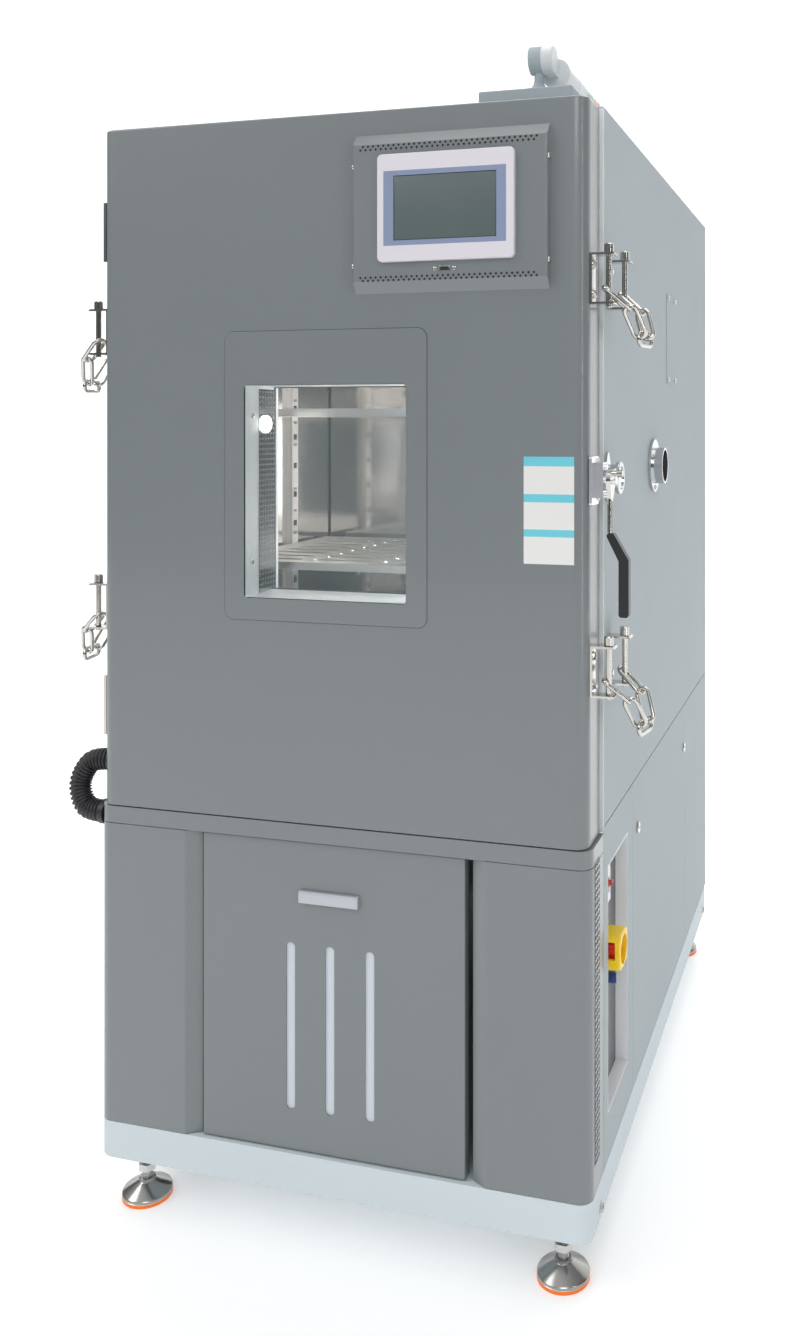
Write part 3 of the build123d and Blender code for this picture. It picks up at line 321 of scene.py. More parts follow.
def finish_material(
    name, colour, drift=0.94, rough=(0.4, 0.5), metal=0.0, scale=3.0, speckle=600.0, stretch=(1, 1, 1),
    grain_scale=900.0, bump=0.05, depth=0.0002, dust_amount=0.0, coat=0.0, gloss=0.5, regions=(),
):
    """Builds a finish: two close colours, grain, dust, and regions of another colour in stated boxes.

    A region is (low corner, high corner, colour, roughness, metallic).
    """
    material, tree, shader, where = new_finish(name)
    paint = use(tree, colour_drift(), where, first=four(colour, drift), second=four(colour, 2 - drift),
                scale=scale, speckle=speckle)["Colour"]
    skin = use(tree, grain(), where, stretch=stretch, scale=grain_scale,
               rough_low=rough[0], rough_high=rough[1])
    if dust_amount:
        paint = use(tree, dust(), where, amount=dust_amount, colour=paint)["Colour"]
    roughness, metallic = skin["Roughness"], metal
    for low, high, other, other_rough, other_metal in regions:
        mask = use(tree, inside_box(), where, low=low, high=high)[0]
        second = use(tree, colour_drift(), where, first=four(other, 0.93), second=four(other, 1.05),
                     scale=scale * 2, speckle=speckle)["Colour"]
        paint = mix_colours(tree, mask, paint, second)
        roughness = mix_values(tree, mask, roughness, other_rough)
        if other_metal != metal or isinstance(metallic, bpy.types.NodeSocket):
            metallic = mix_values(tree, mask, metallic, other_metal)
    height = add_node(tree, "ShaderNodeBump", {"Strength": bump, "Distance": depth, "Height": skin["Height"]})
    fill(tree, shader, {
        "Normal": height.outputs["Normal"], "Base Color": paint, "Roughness": roughness,
        "Metallic": metallic, "Specular IOR Level": gloss,
    })
    if coat:
        fill(tree, shader, {"Coat Weight": coat, "Coat Roughness": 0.12})
    return material


def glass_material(name, colour, alpha, rough=0.03):
    """Thin clear pane: see-through by alpha, with a faint drift of smears in its gloss."""
    _, tree, shader, where = new_finish(name)
    skin = use(tree, grain(), where, scale=6.0, rough_low=rough, rough_high=rough + 0.05)
    tint = use(tree, colour_drift(), where, first=four(colour, 0.96), second=four(colour, 1.03), scale=2.0)
    fill(tree, shader, {
        "Roughness": skin["Roughness"], "Base Color": tint["Colour"], "Alpha": alpha,
        "Specular IOR Level": 0.6,
    })


def lens_material(name, first, second, split):
    """Two coloured lamp lenses in one finish: one colour in front of the split, the other behind."""
    _, tree, shader, where = new_finish(name)
    sides = {0: parts_of(tree, where)["Y"], 1: split}
    behind = add_node(tree, "ShaderNodeMath", sides, operation="GREATER_THAN").outputs[0]
    tints = [
        use(tree, colour_drift(), where, first=four(tone, 0.85), second=four(tone, 1.1), scale=60.0)["Colour"]
        for tone in (first, second)
    ]
    skin = use(tree, grain(), where, scale=30.0, rough_low=0.12, rough_high=0.22)
    fill(tree, shader, {
        "Base Color": mix_colours(tree, behind, *tints), "Roughness": skin["Roughness"],
        "Transmission Weight": 0.35, "Coat Weight": 0.5,
    })


# Mesh helpers


def new_object(name, bm, smooth=40):
    """Turns a bmesh into an object at the origin, smooth below an angle in degrees."""
    bmesh.ops.remove_doubles(bm, verts=bm.verts, dist=1e-6)
    bmesh.ops.recalc_face_normals(bm, faces=bm.faces)
    mesh = bpy.data.meshes.new(name)
    bm.to_mesh(mesh)
    bm.free()
    for polygon in mesh.polygons:
        polygon.use_smooth = True
    mesh.set_sharp_from_angle(angle=math.radians(smooth))
    item = bpy.data.objects.new(name, mesh)
    bpy.context.collection.objects.link(item)
    return item


def dress(item, finish, body, slot, *replaced):
    """Gives a piece its finish by name, the body it rides on, and the nodes it stands for. The slot is not
    used.
    """
    item.data.materials.clear()
    item.data.materials.append(mats(finish))
    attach(item, body)
    if replaced:
        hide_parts(*replaced)


def add_box(bm, low, high, bevel=0.0):
    """Adds a box between two corners in metres, with rounded edges."""
    made = bmesh.ops.create_cube(bm, size=1.0)
    size = high - low
    middle = (low + high) / 2
    for vertex in made["verts"]:
        vertex.co = Vector((vertex.co[k] * abs(size[k]) + middle[k] for k in range(3)))
    if bevel:
        edges = list({edge for vertex in made["verts"] for edge in vertex.link_edges})
        bmesh.ops.bevel(bm, geom=edges, offset=bevel, segments=2, affect="EDGES", profile=0.6)


def axis_frame(direction):
    """Two directions square to the given one."""
    along = direction.normalized()
    side = Z_AXIS if abs(along.z) < 0.9 else X_AXIS
    first = along.cross(side).normalized()
    return first, along.cross(first).normalized()


def skin_rings(bm, rings, closed=False):
    """Joins rings of as many corners each by faces, and closes the ends or joins the last to the first."""
    pairs = list(zip(rings, rings[1:]))
    if closed:
        pairs.append((rings[-1], rings[0]))
    for before, after in pairs:
        for step in range(len(before)):
            other = (step + 1) % len(before)
            bm.faces.new((before[step], before[other], after[other], after[step]))
    if not closed:
        bm.faces.new(rings[0])
        bm.faces.new(rings[-1])


def add_lathe(bm, centre, direction, profile, steps=32, shape=None):
    """Adds a turned form: profile is (radius, distance along) in metres, closed at both ends."""
    along = direction.normalized()
    first, second = axis_frame(along)
    rings = []
    for index, (radius, distance) in enumerate(profile):
        ring = []
        for step in range(steps):
            angle = math.tau * step / steps
            reach = shape(index, angle, radius) if shape else radius
            offset = first * (math.cos(angle) * reach) + second * (math.sin(angle) * reach)
            ring.append(bm.verts.new(centre + along * distance + offset))
        rings.append(ring)
    skin_rings(bm, rings)


def add_sweep(bm, points, radii, steps=12, closed=False, normal=None):
    """Adds a round tube through points in metres, with one radius for each point."""
    count = len(points)
    rings = []
    side = None
    for index, point in enumerate(points):
        after = points[(index + 1) % count] if closed or index < count - 1 else point
        before = points[index - 1] if closed or index > 0 else point
        tangent = (after - before).normalized()
        if normal is not None:
            second = normal
        elif side is None:
            second = axis_frame(tangent)[0]
        else:
            second = (side - tangent * side.dot(tangent)).normalized()
        side = second
        first = tangent.cross(second).normalized()
        ring = []
        for step in range(steps):
            angle = math.tau * step / steps
            offset = first * math.cos(angle) + second * math.sin(angle)
            ring.append(bm.verts.new(point + offset * radii[index]))
        rings.append(ring)
    skin_rings(bm, rings, closed)


def box_object(name, low, high, bevel=0.0):
    """A box between two corners, as an object of its own."""
    bm = bmesh.new()
    add_box(bm, low, high, bevel)
    return new_object(name, bm)


def turned_object(name, profile, steps, smooth=40, shape=None):
    """A turned form that stands on the origin, as an object of its own."""
    bm = bmesh.new()
    add_lathe(bm, Vector(), Z_AXIS, profile, steps, shape)
    return new_object(name, bm, smooth)


def repeat_tree():
    """Geometry Nodes tree: one piece on each point, turned by the point's own angles, all made real."""

    def build(tree, given):
        piece = add_node(tree, "GeometryNodeObjectInfo", {"Object": given["Piece"]})
        turn = add_node(tree, "GeometryNodeInputNamedAttribute", {"Name": "turn"}, data_type="FLOAT_VECTOR")
        angles = add_node(tree, "FunctionNodeEulerToRotation", {"Euler": turn.outputs["Attribute"]})
        copies = add_node(tree, "GeometryNodeInstanceOnPoints", {
            "Points": given["Geometry"], "Instance": piece.outputs["Geometry"],
            "Rotation": angles.outputs["Rotation"],
        })
        real = add_node(tree, "GeometryNodeRealizeInstances", {"Geometry": copies.outputs["Instances"]})
        painted = {"Geometry": real.outputs["Geometry"], "Material": given["Material"]}
        paint = add_node(tree, "GeometryNodeSetMaterial", painted)
        return {"Geometry": paint.outputs["Geometry"]}

    inputs = (
        ("Geometry", "NodeSocketGeometry", None),
        ("Piece", "NodeSocketObject", None),
        ("Material", "NodeSocketMaterial", None),
    )
    outputs = (("Geometry", "NodeSocketGeometry"),)
    return shared_group("Repeat piece", inputs, outputs, build, kind="GeometryNodeTree")


def repeat(name, source, spots, finish):
    """Puts a copy of the source at each spot, (point, rotation matrix), and returns one plain mesh."""
    mesh = bpy.data.meshes.new(name + "_spots")
    mesh.from_pydata([tuple(point) for point, _ in spots], [], [])
    turns = mesh.attributes.new("turn", "FLOAT_VECTOR", "POINT")
    for index, (_, rotation) in enumerate(spots):
        turns.data[index].vector = rotation.to_euler()
    holder = bpy.data.objects.new(name + "_spots", mesh)
    bpy.context.collection.objects.link(holder)
    tree = repeat_tree()
    keys = {item.name: item.identifier for item in tree.interface.items_tree if item.in_out == "INPUT"}
    modifier = holder.modifiers.new("Repeat", "NODES")
    modifier.node_group = tree
    modifier[keys["Piece"]] = source
    modifier[keys["Material"]] = mats(finish)
    bpy.context.view_layer.update()
    shown = holder.evaluated_get(bpy.context.evaluated_depsgraph_get())
    result = bpy.data.meshes.new_from_object(shown)
    result.name = name
    if "turn" in result.attributes:
        result.attributes.remove(result.attributes["turn"])
    holder.modifiers.clear()
    bpy.data.objects.remove(holder)
    bpy.data.objects.remove(source)
    item = bpy.data.objects.new(name, result)
    bpy.context.collection.objects.link(item)
    return item


def repeat_dressed(name, source, spots, finish, body, slot, *replaced):
    """Puts a copy of the source at each spot and dresses the result."""
    dress(repeat(name, source, spots, finish), finish, body, slot, *replaced)


def facing(direction, spin=0.0):
    """Rotation that turns +Z to the given direction, after a spin about it."""
    return direction.to_track_quat("Z", "Y").to_matrix() @ Matrix.Rotation(spin, 3, "Z")


def screw_source(radius):
    """Pan-head screw at the origin with its head towards +Z and a cross recess."""
    recess_starts, arm_half_angle, between_arms = 4, 0.3, 0.42

    def reach(index, angle, size):
        turned = (angle + math.pi / 4) % (math.pi / 2) - math.pi / 4
        if index < recess_starts or abs(turned) < arm_half_angle:
            return size
        return size * between_arms

    profile = (
        (radius, 0), (radius, radius * 0.25), (radius * 0.88, radius * 0.48), (radius * 0.6, radius * 0.58),
        (radius * 0.5, radius * 0.6), (radius * 0.42, radius * 0.25),
    )
    return turned_object("screw_source", profile, 24, 30, reach)


def bolt_source(radius):
    """Hexagon bolt head on a washer, towards +Z."""
    bm = bmesh.new()
    add_lathe(bm, Vector(), Z_AXIS, ((radius * 1.35, 0), (radius * 1.35, radius * 0.16)), steps=24)
    head = ((radius, radius * 0.16), (radius, radius * 0.72), (radius * 0.86, radius * 0.82))
    add_lathe(bm, Vector(), Z_AXIS, head, steps=6)
    return new_object("bolt_source", bm, smooth=20)


def perforated_tile(width, height, hole):
    """One cell of a perforated sheet at the origin, facing +Z, with a round hole."""
    bm = bmesh.new()
    thick, steps = 0.0006, 12
    outer_top, inner_top, inner_low = [], [], []
    for step in range(steps):
        angle = math.tau * step / steps
        x, y = math.cos(angle), math.sin(angle)
        stretch = min(width / 2 / max(abs(x), 1e-6), height / 2 / max(abs(y), 1e-6))
        outer_top.append(bm.verts.new((x * stretch, y * stretch, thick)))
        inner_top.append(bm.verts.new((x * hole, y * hole, thick)))
        inner_low.append(bm.verts.new((x * hole, y * hole, 0)))
    for step in range(steps):
        other = (step + 1) % steps
        bm.faces.new((outer_top[step], outer_top[other], inner_top[other], inner_top[step]))
        bm.faces.new((inner_top[step], inner_top[other], inner_low[other], inner_low[step]))
    for sx, sy in ((1, 1), (-1, 1), (-1, -1), (1, -1)):
        cx, cy = sx * width / 2, sy * height / 2
        gaps = sorted(((v.co.x - cx) ** 2 + (v.co.y - cy) ** 2, k) for k, v in enumerate(outer_top))[:2]
        if gaps[0][0] > 1e-12:
            near = [outer_top[k] for _, k in gaps]
            bm.faces.new((near[0], near[1], bm.verts.new((cx, cy, thick))))
    return new_object("tile_source", bm, smooth=20)


def chain_levels(side):
    """Middle heights of a side's two chain sets, which are closer together on the left (-1)."""
    low, high = CHAIN_LEVELS
    return (low, high) if side > 0 else (low + CHAIN_DROP_LEFT, high - CHAIN_DROP_LEFT)


# Operators: one for each piece or group of like pieces.


class CHAMBER_OT_stage(bpy.types.Operator):
    """Lay the pale floor, set the soft lights and place the camera"""

    bl_idname = "chamber.stage"
    bl_label = "Stage"

    def execute(self, context):
        self.floor()
        context.scene.world = self.studio_world()
        for name, spot, target, width, height, power in (
            ("key", (-3.9, -3.3, 4.3), (0, 0, 0.9), 2.4, 2.4, 72),
            ("front", (1.4, -4.4, 3.3), (0, -0.6, 1.5), 2.0, 1.6, 44),
            ("fill", (3.2, -2.1, 1.4), (0.3, -0.2, 1.0), 0.14, 2.6, 13),
            ("top", (0.2, 0.2, 4.4), (0, 0, 0.8), 3.2, 3.2, 45),
            ("rear", (-0.4, 3.2, 3.4), (0, 0.2, 0.9), 2.0, 2.0, 36),
            ("test space", tuple(place(215, 114, 1110)), tuple(place(-275, 330, 1110)), 0.02, 0.5, 2.6),
            ("space top", tuple(place(-60, 200, 1395)), tuple(place(-120, 420, 900)), 0.2, 0.1, 1.6),
            ("window", tuple(place(112, 46, 1090)), tuple(place(-137, 46, 1090)), 0.03, 0.28, 0.3),
        ):
            light = bpy.data.lights.new(name, "AREA")
            light.shape = "RECTANGLE"
            light.size = width
            light.size_y = height
            light.energy = power
            lamp = bpy.data.objects.new(name, light)
            lamp.location = spot
            lamp.rotation_euler = (Vector(target) - Vector(spot)).to_track_quat("-Z", "Y").to_euler()
            context.collection.objects.link(lamp)
        context.scene.view_settings.view_transform = "Standard"
        self.camera(context)
        return {"FINISHED"}

    def floor(self):
        """Pale floor that curves up behind the object and glows a little more with distance."""
        bm = bmesh.new()
        half_width, flat_from, flat_to, bend, top, steps = 9.0, -7.0, 3.2, 1.6, 6.0, 12
        profile = [(flat_from, 0.0), (flat_to, 0.0)]
        for step in range(1, steps + 1):
            angle = math.pi / 2 * step / steps
            profile.append((flat_to + math.sin(angle) * bend, bend - math.cos(angle) * bend))
        profile.append((flat_to + bend, top))
        rows = [[bm.verts.new((x, y, z)) for x in (-half_width, half_width)] for y, z in profile]
        for before, after in zip(rows, rows[1:]):
            bm.faces.new((before[0], before[1], after[1], after[0]))
        floor = new_object("studio_floor", bm, smooth=60)
        paper = finish_material("studio_floor_paint", (0.93, 0.93, 0.93), drift=0.995, rough=(0.6, 0.7),
                                bump=0.0)
        tree = paper.node_tree
        depth = parts_of(tree, tree.nodes.new("ShaderNodeTexCoord").outputs["Object"])["Y"]
        glow = map_range(tree, depth, (-0.6, 2.4), (0.24, 0.5))
        fill(tree, tree.nodes["Principled BSDF"], {"Emission Color": glow, "Emission Strength": 1.0})
        floor.data.materials.append(paper)

    def studio_world(self):
        """Surround: white to the camera. Reflections see it bright above and dim near eye level."""
        world = bpy.data.worlds.new("Studio")
        world.use_nodes = True
        tree = world.node_tree
        direction = parts_of(tree, tree.nodes.new("ShaderNodeTexCoord").outputs["Generated"])
        band = add_node(tree, "ShaderNodeValToRGB", {0: direction["Z"]})
        first, last = band.color_ramp.elements
        first.position, first.color = 0.0, (0.10, 0.11, 0.12, 1)
        last.position, last.color = 0.75, (1.0, 1.0, 1.0, 1)
        middle = band.color_ramp.elements.new(0.22)
        middle.color = (0.24, 0.25, 0.27, 1)
        strength = map_range(tree, direction["X"], (-0.1, 0.9), (1.0, 0.35))
        shade_in = {0: band.outputs[0], "Scale": strength}
        shade = add_node(tree, "ShaderNodeVectorMath", shade_in, operation="SCALE")
        dim = tree.nodes["Background"]
        fill(tree, dim, {"Color": shade.outputs[0], "Strength": 0.85})
        pale = add_node(tree, "ShaderNodeBackground", {"Color": (1, 1, 1, 1)})
        seen = tree.nodes.new("ShaderNodeLightPath").outputs["Is Camera Ray"]
        both = add_node(tree, "ShaderNodeMixShader", {0: seen, 1: dim.outputs[0], 2: pale.outputs[0]})
        fill(tree, tree.nodes["World Output"], {"Surface": both.outputs[0]})
        return world

    def camera(self, context):
        """Camera at the photograph's place, turned towards the object, verticals kept upright."""
        focal, centre_x, centre_y, yaw = 1159.2, 555.0, 422.2, 0.264
        image_width, image_height = 800, 1336
        data = bpy.data.cameras.new("view")
        data.sensor_width = 36
        data.lens = focal / image_height * data.sensor_width
        data.shift_x = (image_width / 2 - centre_x) / image_height
        data.shift_y = (centre_y - image_height / 2) / image_height
        data.clip_start = 0.05
        data.clip_end = 60
        camera = bpy.data.objects.new("view", data)
        camera.location = place(735.6 + 7, -1514.5, 1110.8 + 80)
        camera.rotation_euler = (math.pi / 2, 0, yaw)
        context.collection.objects.link(camera)
        context.scene.camera = camera


class CHAMBER_OT_finishes(bpy.types.Operator):
    """Build every finish and put one on each carried-over node"""

    bl_idname = "chamber.finishes"
    bl_label = "Finishes"

    def execute(self, context):
        tones = colours()
        dark, light = tuple(tones.dark_paint), tuple(tones.light_paint)
        # Painted light: the plinth and the side panels wear one paint; the plinth gets this copy 1.55 times
        # lighter, the lit copy, while the side panels keep the darker, shaded copy.
        lit_copy = (light[0] * 1.55, light[1] * 1.54, light[2] * 1.54)
        steel = (0.60, 0.61, 0.62)
        metal = dict(metal=1.0)
        paint = dict(rough=(0.34, 0.44), scale=2.0, speckle=900.0, grain_scale=1500.0, bump=0.16,
                     depth=0.0003, coat=0.5)
        satin = dict(paint, rough=(0.58, 0.68), coat=0.0, gloss=0.22)
        brushed = dict(metal, rough=(0.12, 0.22), speckle=300.0, grain_scale=420.0, bump=0.012)
        door_gland = (place(-500, -9000, 0), place(-378.3, 9000, 3000), (0.015, 0.015, 0.016), 0.5, 0.0)
        bare_rails = (place(-900, -900, 0), place(900, 2000, 79), (0.45, 0.45, 0.44), 0.35, 1.0)
        slot_backing = (place(-100, 7.9, 170), place(94, 11, 465), (0.62, 0.66, 0.72), 0.5, 0.0)
        panel_pull = (place(-60, -20, 490), place(60, 5.9, 520), (0.50, 0.52, 0.56), 0.35, 0.3)
        soft_pad = (place(-900, -900, -1), place(900, 2000, 5.2), tuple(tones.foot_pad), 0.45, 0.0)
        recess_tray = (place(350, 104, 195), place(363.4, 252, 560), (0.045, 0.05, 0.06), 0.4, 0.0)
        blue_bezel = (place(91, -40, 1436), place(270, -18.9, 1540), (0.25, 0.30, 0.44), 0.35, 0.0)
        dark_pocket = (place(105.9, -18.9, 1442.9), place(256.1, -10, 1533.1),
                       (0.035, 0.045, 0.05), 0.06, 0.0)
        for name, colour, settings in (
            ("dark_paint", dark, dict(paint, drift=0.95, dust_amount=0.05)),
            ("light_paint", light, dict(satin, drift=0.97, dust_amount=0.08)),
            ("white_paint", (0.80, 0.82, 0.83), dict(paint, drift=0.98)),
            ("door_paint", dark, dict(paint, drift=0.95, regions=(door_gland,))),
            ("plinth_paint", lit_copy, dict(satin, drift=0.97, dust_amount=0.15, regions=(bare_rails,))),
            ("access_paint", dark, dict(paint, drift=0.95, regions=(slot_backing, panel_pull))),
            ("recess_paint", (0.80, 0.82, 0.84), dict(paint, drift=0.97, regions=(recess_tray,))),
            ("stainless", steel, dict(brushed, drift=0.95, stretch=(1, 1, 0.03))),
            ("stainless_flat", steel, dict(brushed, drift=0.93, stretch=(0.03, 1, 1))),
            ("mirror_sheet", (0.66, 0.63, 0.60), dict(
                metal, drift=0.96, rough=(0.05, 0.14), scale=2.0, speckle=200.0, grain_scale=6.0,
                depth=0.002)),
            ("satin_steel", (0.78, 0.76, 0.73), dict(
                metal, drift=0.95, rough=(0.3, 0.4), speckle=300.0, grain_scale=420.0, bump=0.02)),
            ("latch_chrome", (0.86, 0.87, 0.90), dict(
                metal, drift=0.95, rough=(0.26, 0.36), scale=40.0, grain_scale=500.0, bump=0.03)),
            ("plated_steel", (0.60, 0.585, 0.55), dict(
                metal, drift=0.88, rough=(0.08, 0.2), scale=40.0, grain_scale=400.0, bump=0.08)),
            ("galvanised", (0.66, 0.70, 0.71), dict(
                metal=0.6, drift=0.9, rough=(0.35, 0.5), scale=90.0, speckle=240.0, grain_scale=160.0,
                bump=0.1)),
            ("foam", (0.80, 0.72, 0.50), dict(
                drift=0.9, rough=(0.8, 0.95), scale=20.0, grain_scale=300.0, bump=0.6, depth=0.001)),
            ("machine_black", (0.02, 0.021, 0.024), dict(
                drift=0.8, rough=(0.35, 0.5), bump=0.1, dust_amount=0.1)),
            ("fin_metal", (0.72, 0.73, 0.74), dict(metal, drift=0.9, rough=(0.3, 0.45), scale=30.0)),
            ("black_rubber", (0.022, 0.022, 0.025), dict(
                drift=0.75, rough=(0.36, 0.5), scale=30.0, grain_scale=700.0, bump=0.3)),
            ("grip_rubber", (0.018, 0.018, 0.02), dict(
                drift=0.8, rough=(0.28, 0.42), scale=30.0, bump=0.2)),
            ("foot_finish", (0.60, 0.60, 0.59), dict(
                metal, drift=0.92, rough=(0.16, 0.3), scale=60.0, regions=(soft_pad,))),
            ("foot_steel", (0.36, 0.355, 0.34), dict(
                metal, drift=0.9, rough=(0.16, 0.3), scale=50.0, grain_scale=500.0)),
            ("wheel_black", (0.03, 0.03, 0.032), dict(
                drift=0.8, rough=(0.4, 0.55), scale=30.0, dust_amount=0.3)),
            ("caster_zinc", (0.55, 0.55, 0.54), dict(metal, drift=0.85, rough=(0.25, 0.4), scale=50.0)),
            ("fitting_white", (0.78, 0.80, 0.82), dict(drift=0.96, rough=(0.35, 0.45), grain_scale=1200.0)),
            ("toggle_red", (0.55, 0.03, 0.02), dict(drift=0.9, rough=(0.3, 0.4))),
            ("guard_yellow", tuple(tones.guard), dict(
                drift=0.95, rough=(0.28, 0.38), scale=20.0, grain_scale=800.0, coat=0.25)),
            ("button_red", (0.72, 0.02, 0.015), dict(drift=0.92, rough=(0.2, 0.3), coat=0.3)),
            ("knob_blue", (0.015, 0.05, 0.20), dict(drift=0.85, rough=(0.35, 0.45))),
            ("lamp_body", (0.72, 0.75, 0.76), dict(drift=0.96, rough=(0.3, 0.42), scale=20.0, coat=0.2)),
            # Painted shade: near-black for the shade inside holes, slots, grooves and openings.
            ("gap_shade", (0.012, 0.012, 0.014), dict(drift=0.8, rough=(0.6, 0.8))),
            ("seal_grey", (0.30, 0.31, 0.32), dict(drift=0.92, rough=(0.55, 0.7), bump=0.1)),
            ("panel_housing", (0.72, 0.69, 0.74), dict(
                drift=0.98, rough=(0.3, 0.4), grain_scale=1400.0, bump=0.1,
                regions=(blue_bezel, dark_pocket))),
        ):
            finish_material(name, colour, **settings)
        glass_material("pane", (0.42, 0.50, 0.52), alpha=0.06)
        lens_material("lens_colour", (0.02, 0.50, 0.14), (0.85, 0.09, 0.03), place(0, 321, 0).y)
        given = {
            "dark_paint": ("lower_posts", "header_band", "window_frame", "control_cover"),
            "door_paint": ("door_shell",),
            "access_paint": ("access_panel",),
            "light_paint": ("upper_sides", "roof_panel", "back_panel", "lower_sides", "service_panel",
                            "stack_base"),
            "plinth_paint": ("base_plinth",),
            "white_paint": ("front_frame",),
            "recess_paint": ("switch_recess",),
            "stainless": ("door_liner", "circulation_fan"),
            "mirror_sheet": ("chamber_liner", "air_baffle"),
            "satin_steel": ("shelf_rack",),
            "latch_chrome": ("latch_body",),
            "stainless_flat": ("cable_port", "latch_keeper"),
            "plated_steel": ("latch_lever", "case_hinges", "door_hinges", "chain_brackets_case",
                             "chain_brackets_door", "chain_pin_upper", "chain_pin_lower", "safety_chains",
                             "service_lock_front", "service_lock_rear"),
            "galvanised": ("window_tunnel",),
            "foam": ("insulation",),
            "machine_black": ("fan_motor", "compressor", "condenser_fan"),
            "fin_metal": ("condenser", "coil_and_heater"),
            "black_rubber": ("cable_glands", "door_hose"),
            "grip_rubber": ("latch_grip",),
            "seal_grey": ("door_gasket",),
            "foot_finish": ("levelling_feet",),
            "caster_zinc": ("front_fork_left", "front_fork_right"),
            "wheel_black": ("front_wheel_left", "front_wheel_right", "rear_wheel_left", "rear_wheel_right"),
            "fitting_white": ("switch_modules",),
            "toggle_red": ("breaker_toggle",),
            "guard_yellow": ("estop_guard",),
            "button_red": ("estop_button",),
            "knob_blue": ("selector_knob",),
            "panel_housing": ("touch_panel",),
            "lamp_body": ("stack_lamp",),
            "lens_colour": ("stack_lenses",),
            "pane": ("window_glass",),
        }
        done = set()
        for name, nodes in given.items():
            for node in nodes:
                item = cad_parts[node]
                item.data.materials.clear()
                item.data.materials.append(mats(name))
                done.add(node)
        missing = set(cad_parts) - done
        if missing:
            raise RuntimeError(f"nodes with no finish: {sorted(missing)}")
        return {"FINISHED"}


class CHAMBER_OT_hose(bpy.types.Operator):
    """Sweep the corrugated hose between its two glands"""

    bl_idname = "chamber.hose"
    bl_label = "Corrugated hose"

    def execute(self, context):
        low, high = 593.3, 669.0
        route = (
            place(-393, 25, low), place(-418, 25, low), place(-432, 27, low + 14), place(-440, 31, low + 38),
            place(-432, 36, high - 14), place(-418, 40, high), place(-388, 40, high),
        )
        curve = bpy.data.curves.new("hose_route", "CURVE")
        curve.dimensions = "3D"
        curve.resolution_u = 24
        spline = curve.splines.new("NURBS")
        spline.points.add(len(route) - 1)
        for point, spot in zip(spline.points, route):
            point.co = (*spot, 1)
        spline.order_u = 3
        spline.use_endpoint_u = True
        line = bpy.data.objects.new("hose_route", curve)
        context.collection.objects.link(line)
        context.view_layer.update()
        shown = line.evaluated_get(context.evaluated_depsgraph_get())
        path = [v.co.copy() for v in bpy.data.meshes.new_from_object(shown).vertices]
        bpy.data.objects.remove(line)
        radius = sizes().hose_radius
        points, radii = self.corrugate(path, radius, sizes().hose_pitch)
        bm = bmesh.new()
        add_sweep(bm, points, radii, steps=24)
        hose = new_object("corrugated_hose", bm, smooth=60)
        hose.data.materials.append(mats("black_rubber"))
        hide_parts("door_hose")
        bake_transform(hose)
        return {"FINISHED"}

    def corrugate(self, path, radius, pitch):
        """Points at a quarter pitch along the path, with the radius of rib, flank, groove and flank."""
        lengths = [0.0]
        for before, after in zip(path, path[1:]):
            lengths.append(lengths[-1] + (after - before).length)
        total = lengths[-1]
        ribs = round(total / pitch)
        shares = (1.0, 0.98, 0.84, 0.84, 0.98)
        points, radii = [], []
        count = ribs * len(shares)
        spot = 0
        for index in range(count + 1):
            wanted = total * index / count
            while spot < len(lengths) - 2 and lengths[spot + 1] < wanted:
                spot += 1
            share = (wanted - lengths[spot]) / max(lengths[spot + 1] - lengths[spot], 1e-9)
            points.append(path[spot].lerp(path[spot + 1], min(share, 1.0)))
            radii.append(radius * shares[index % len(shares)])
        return points, radii


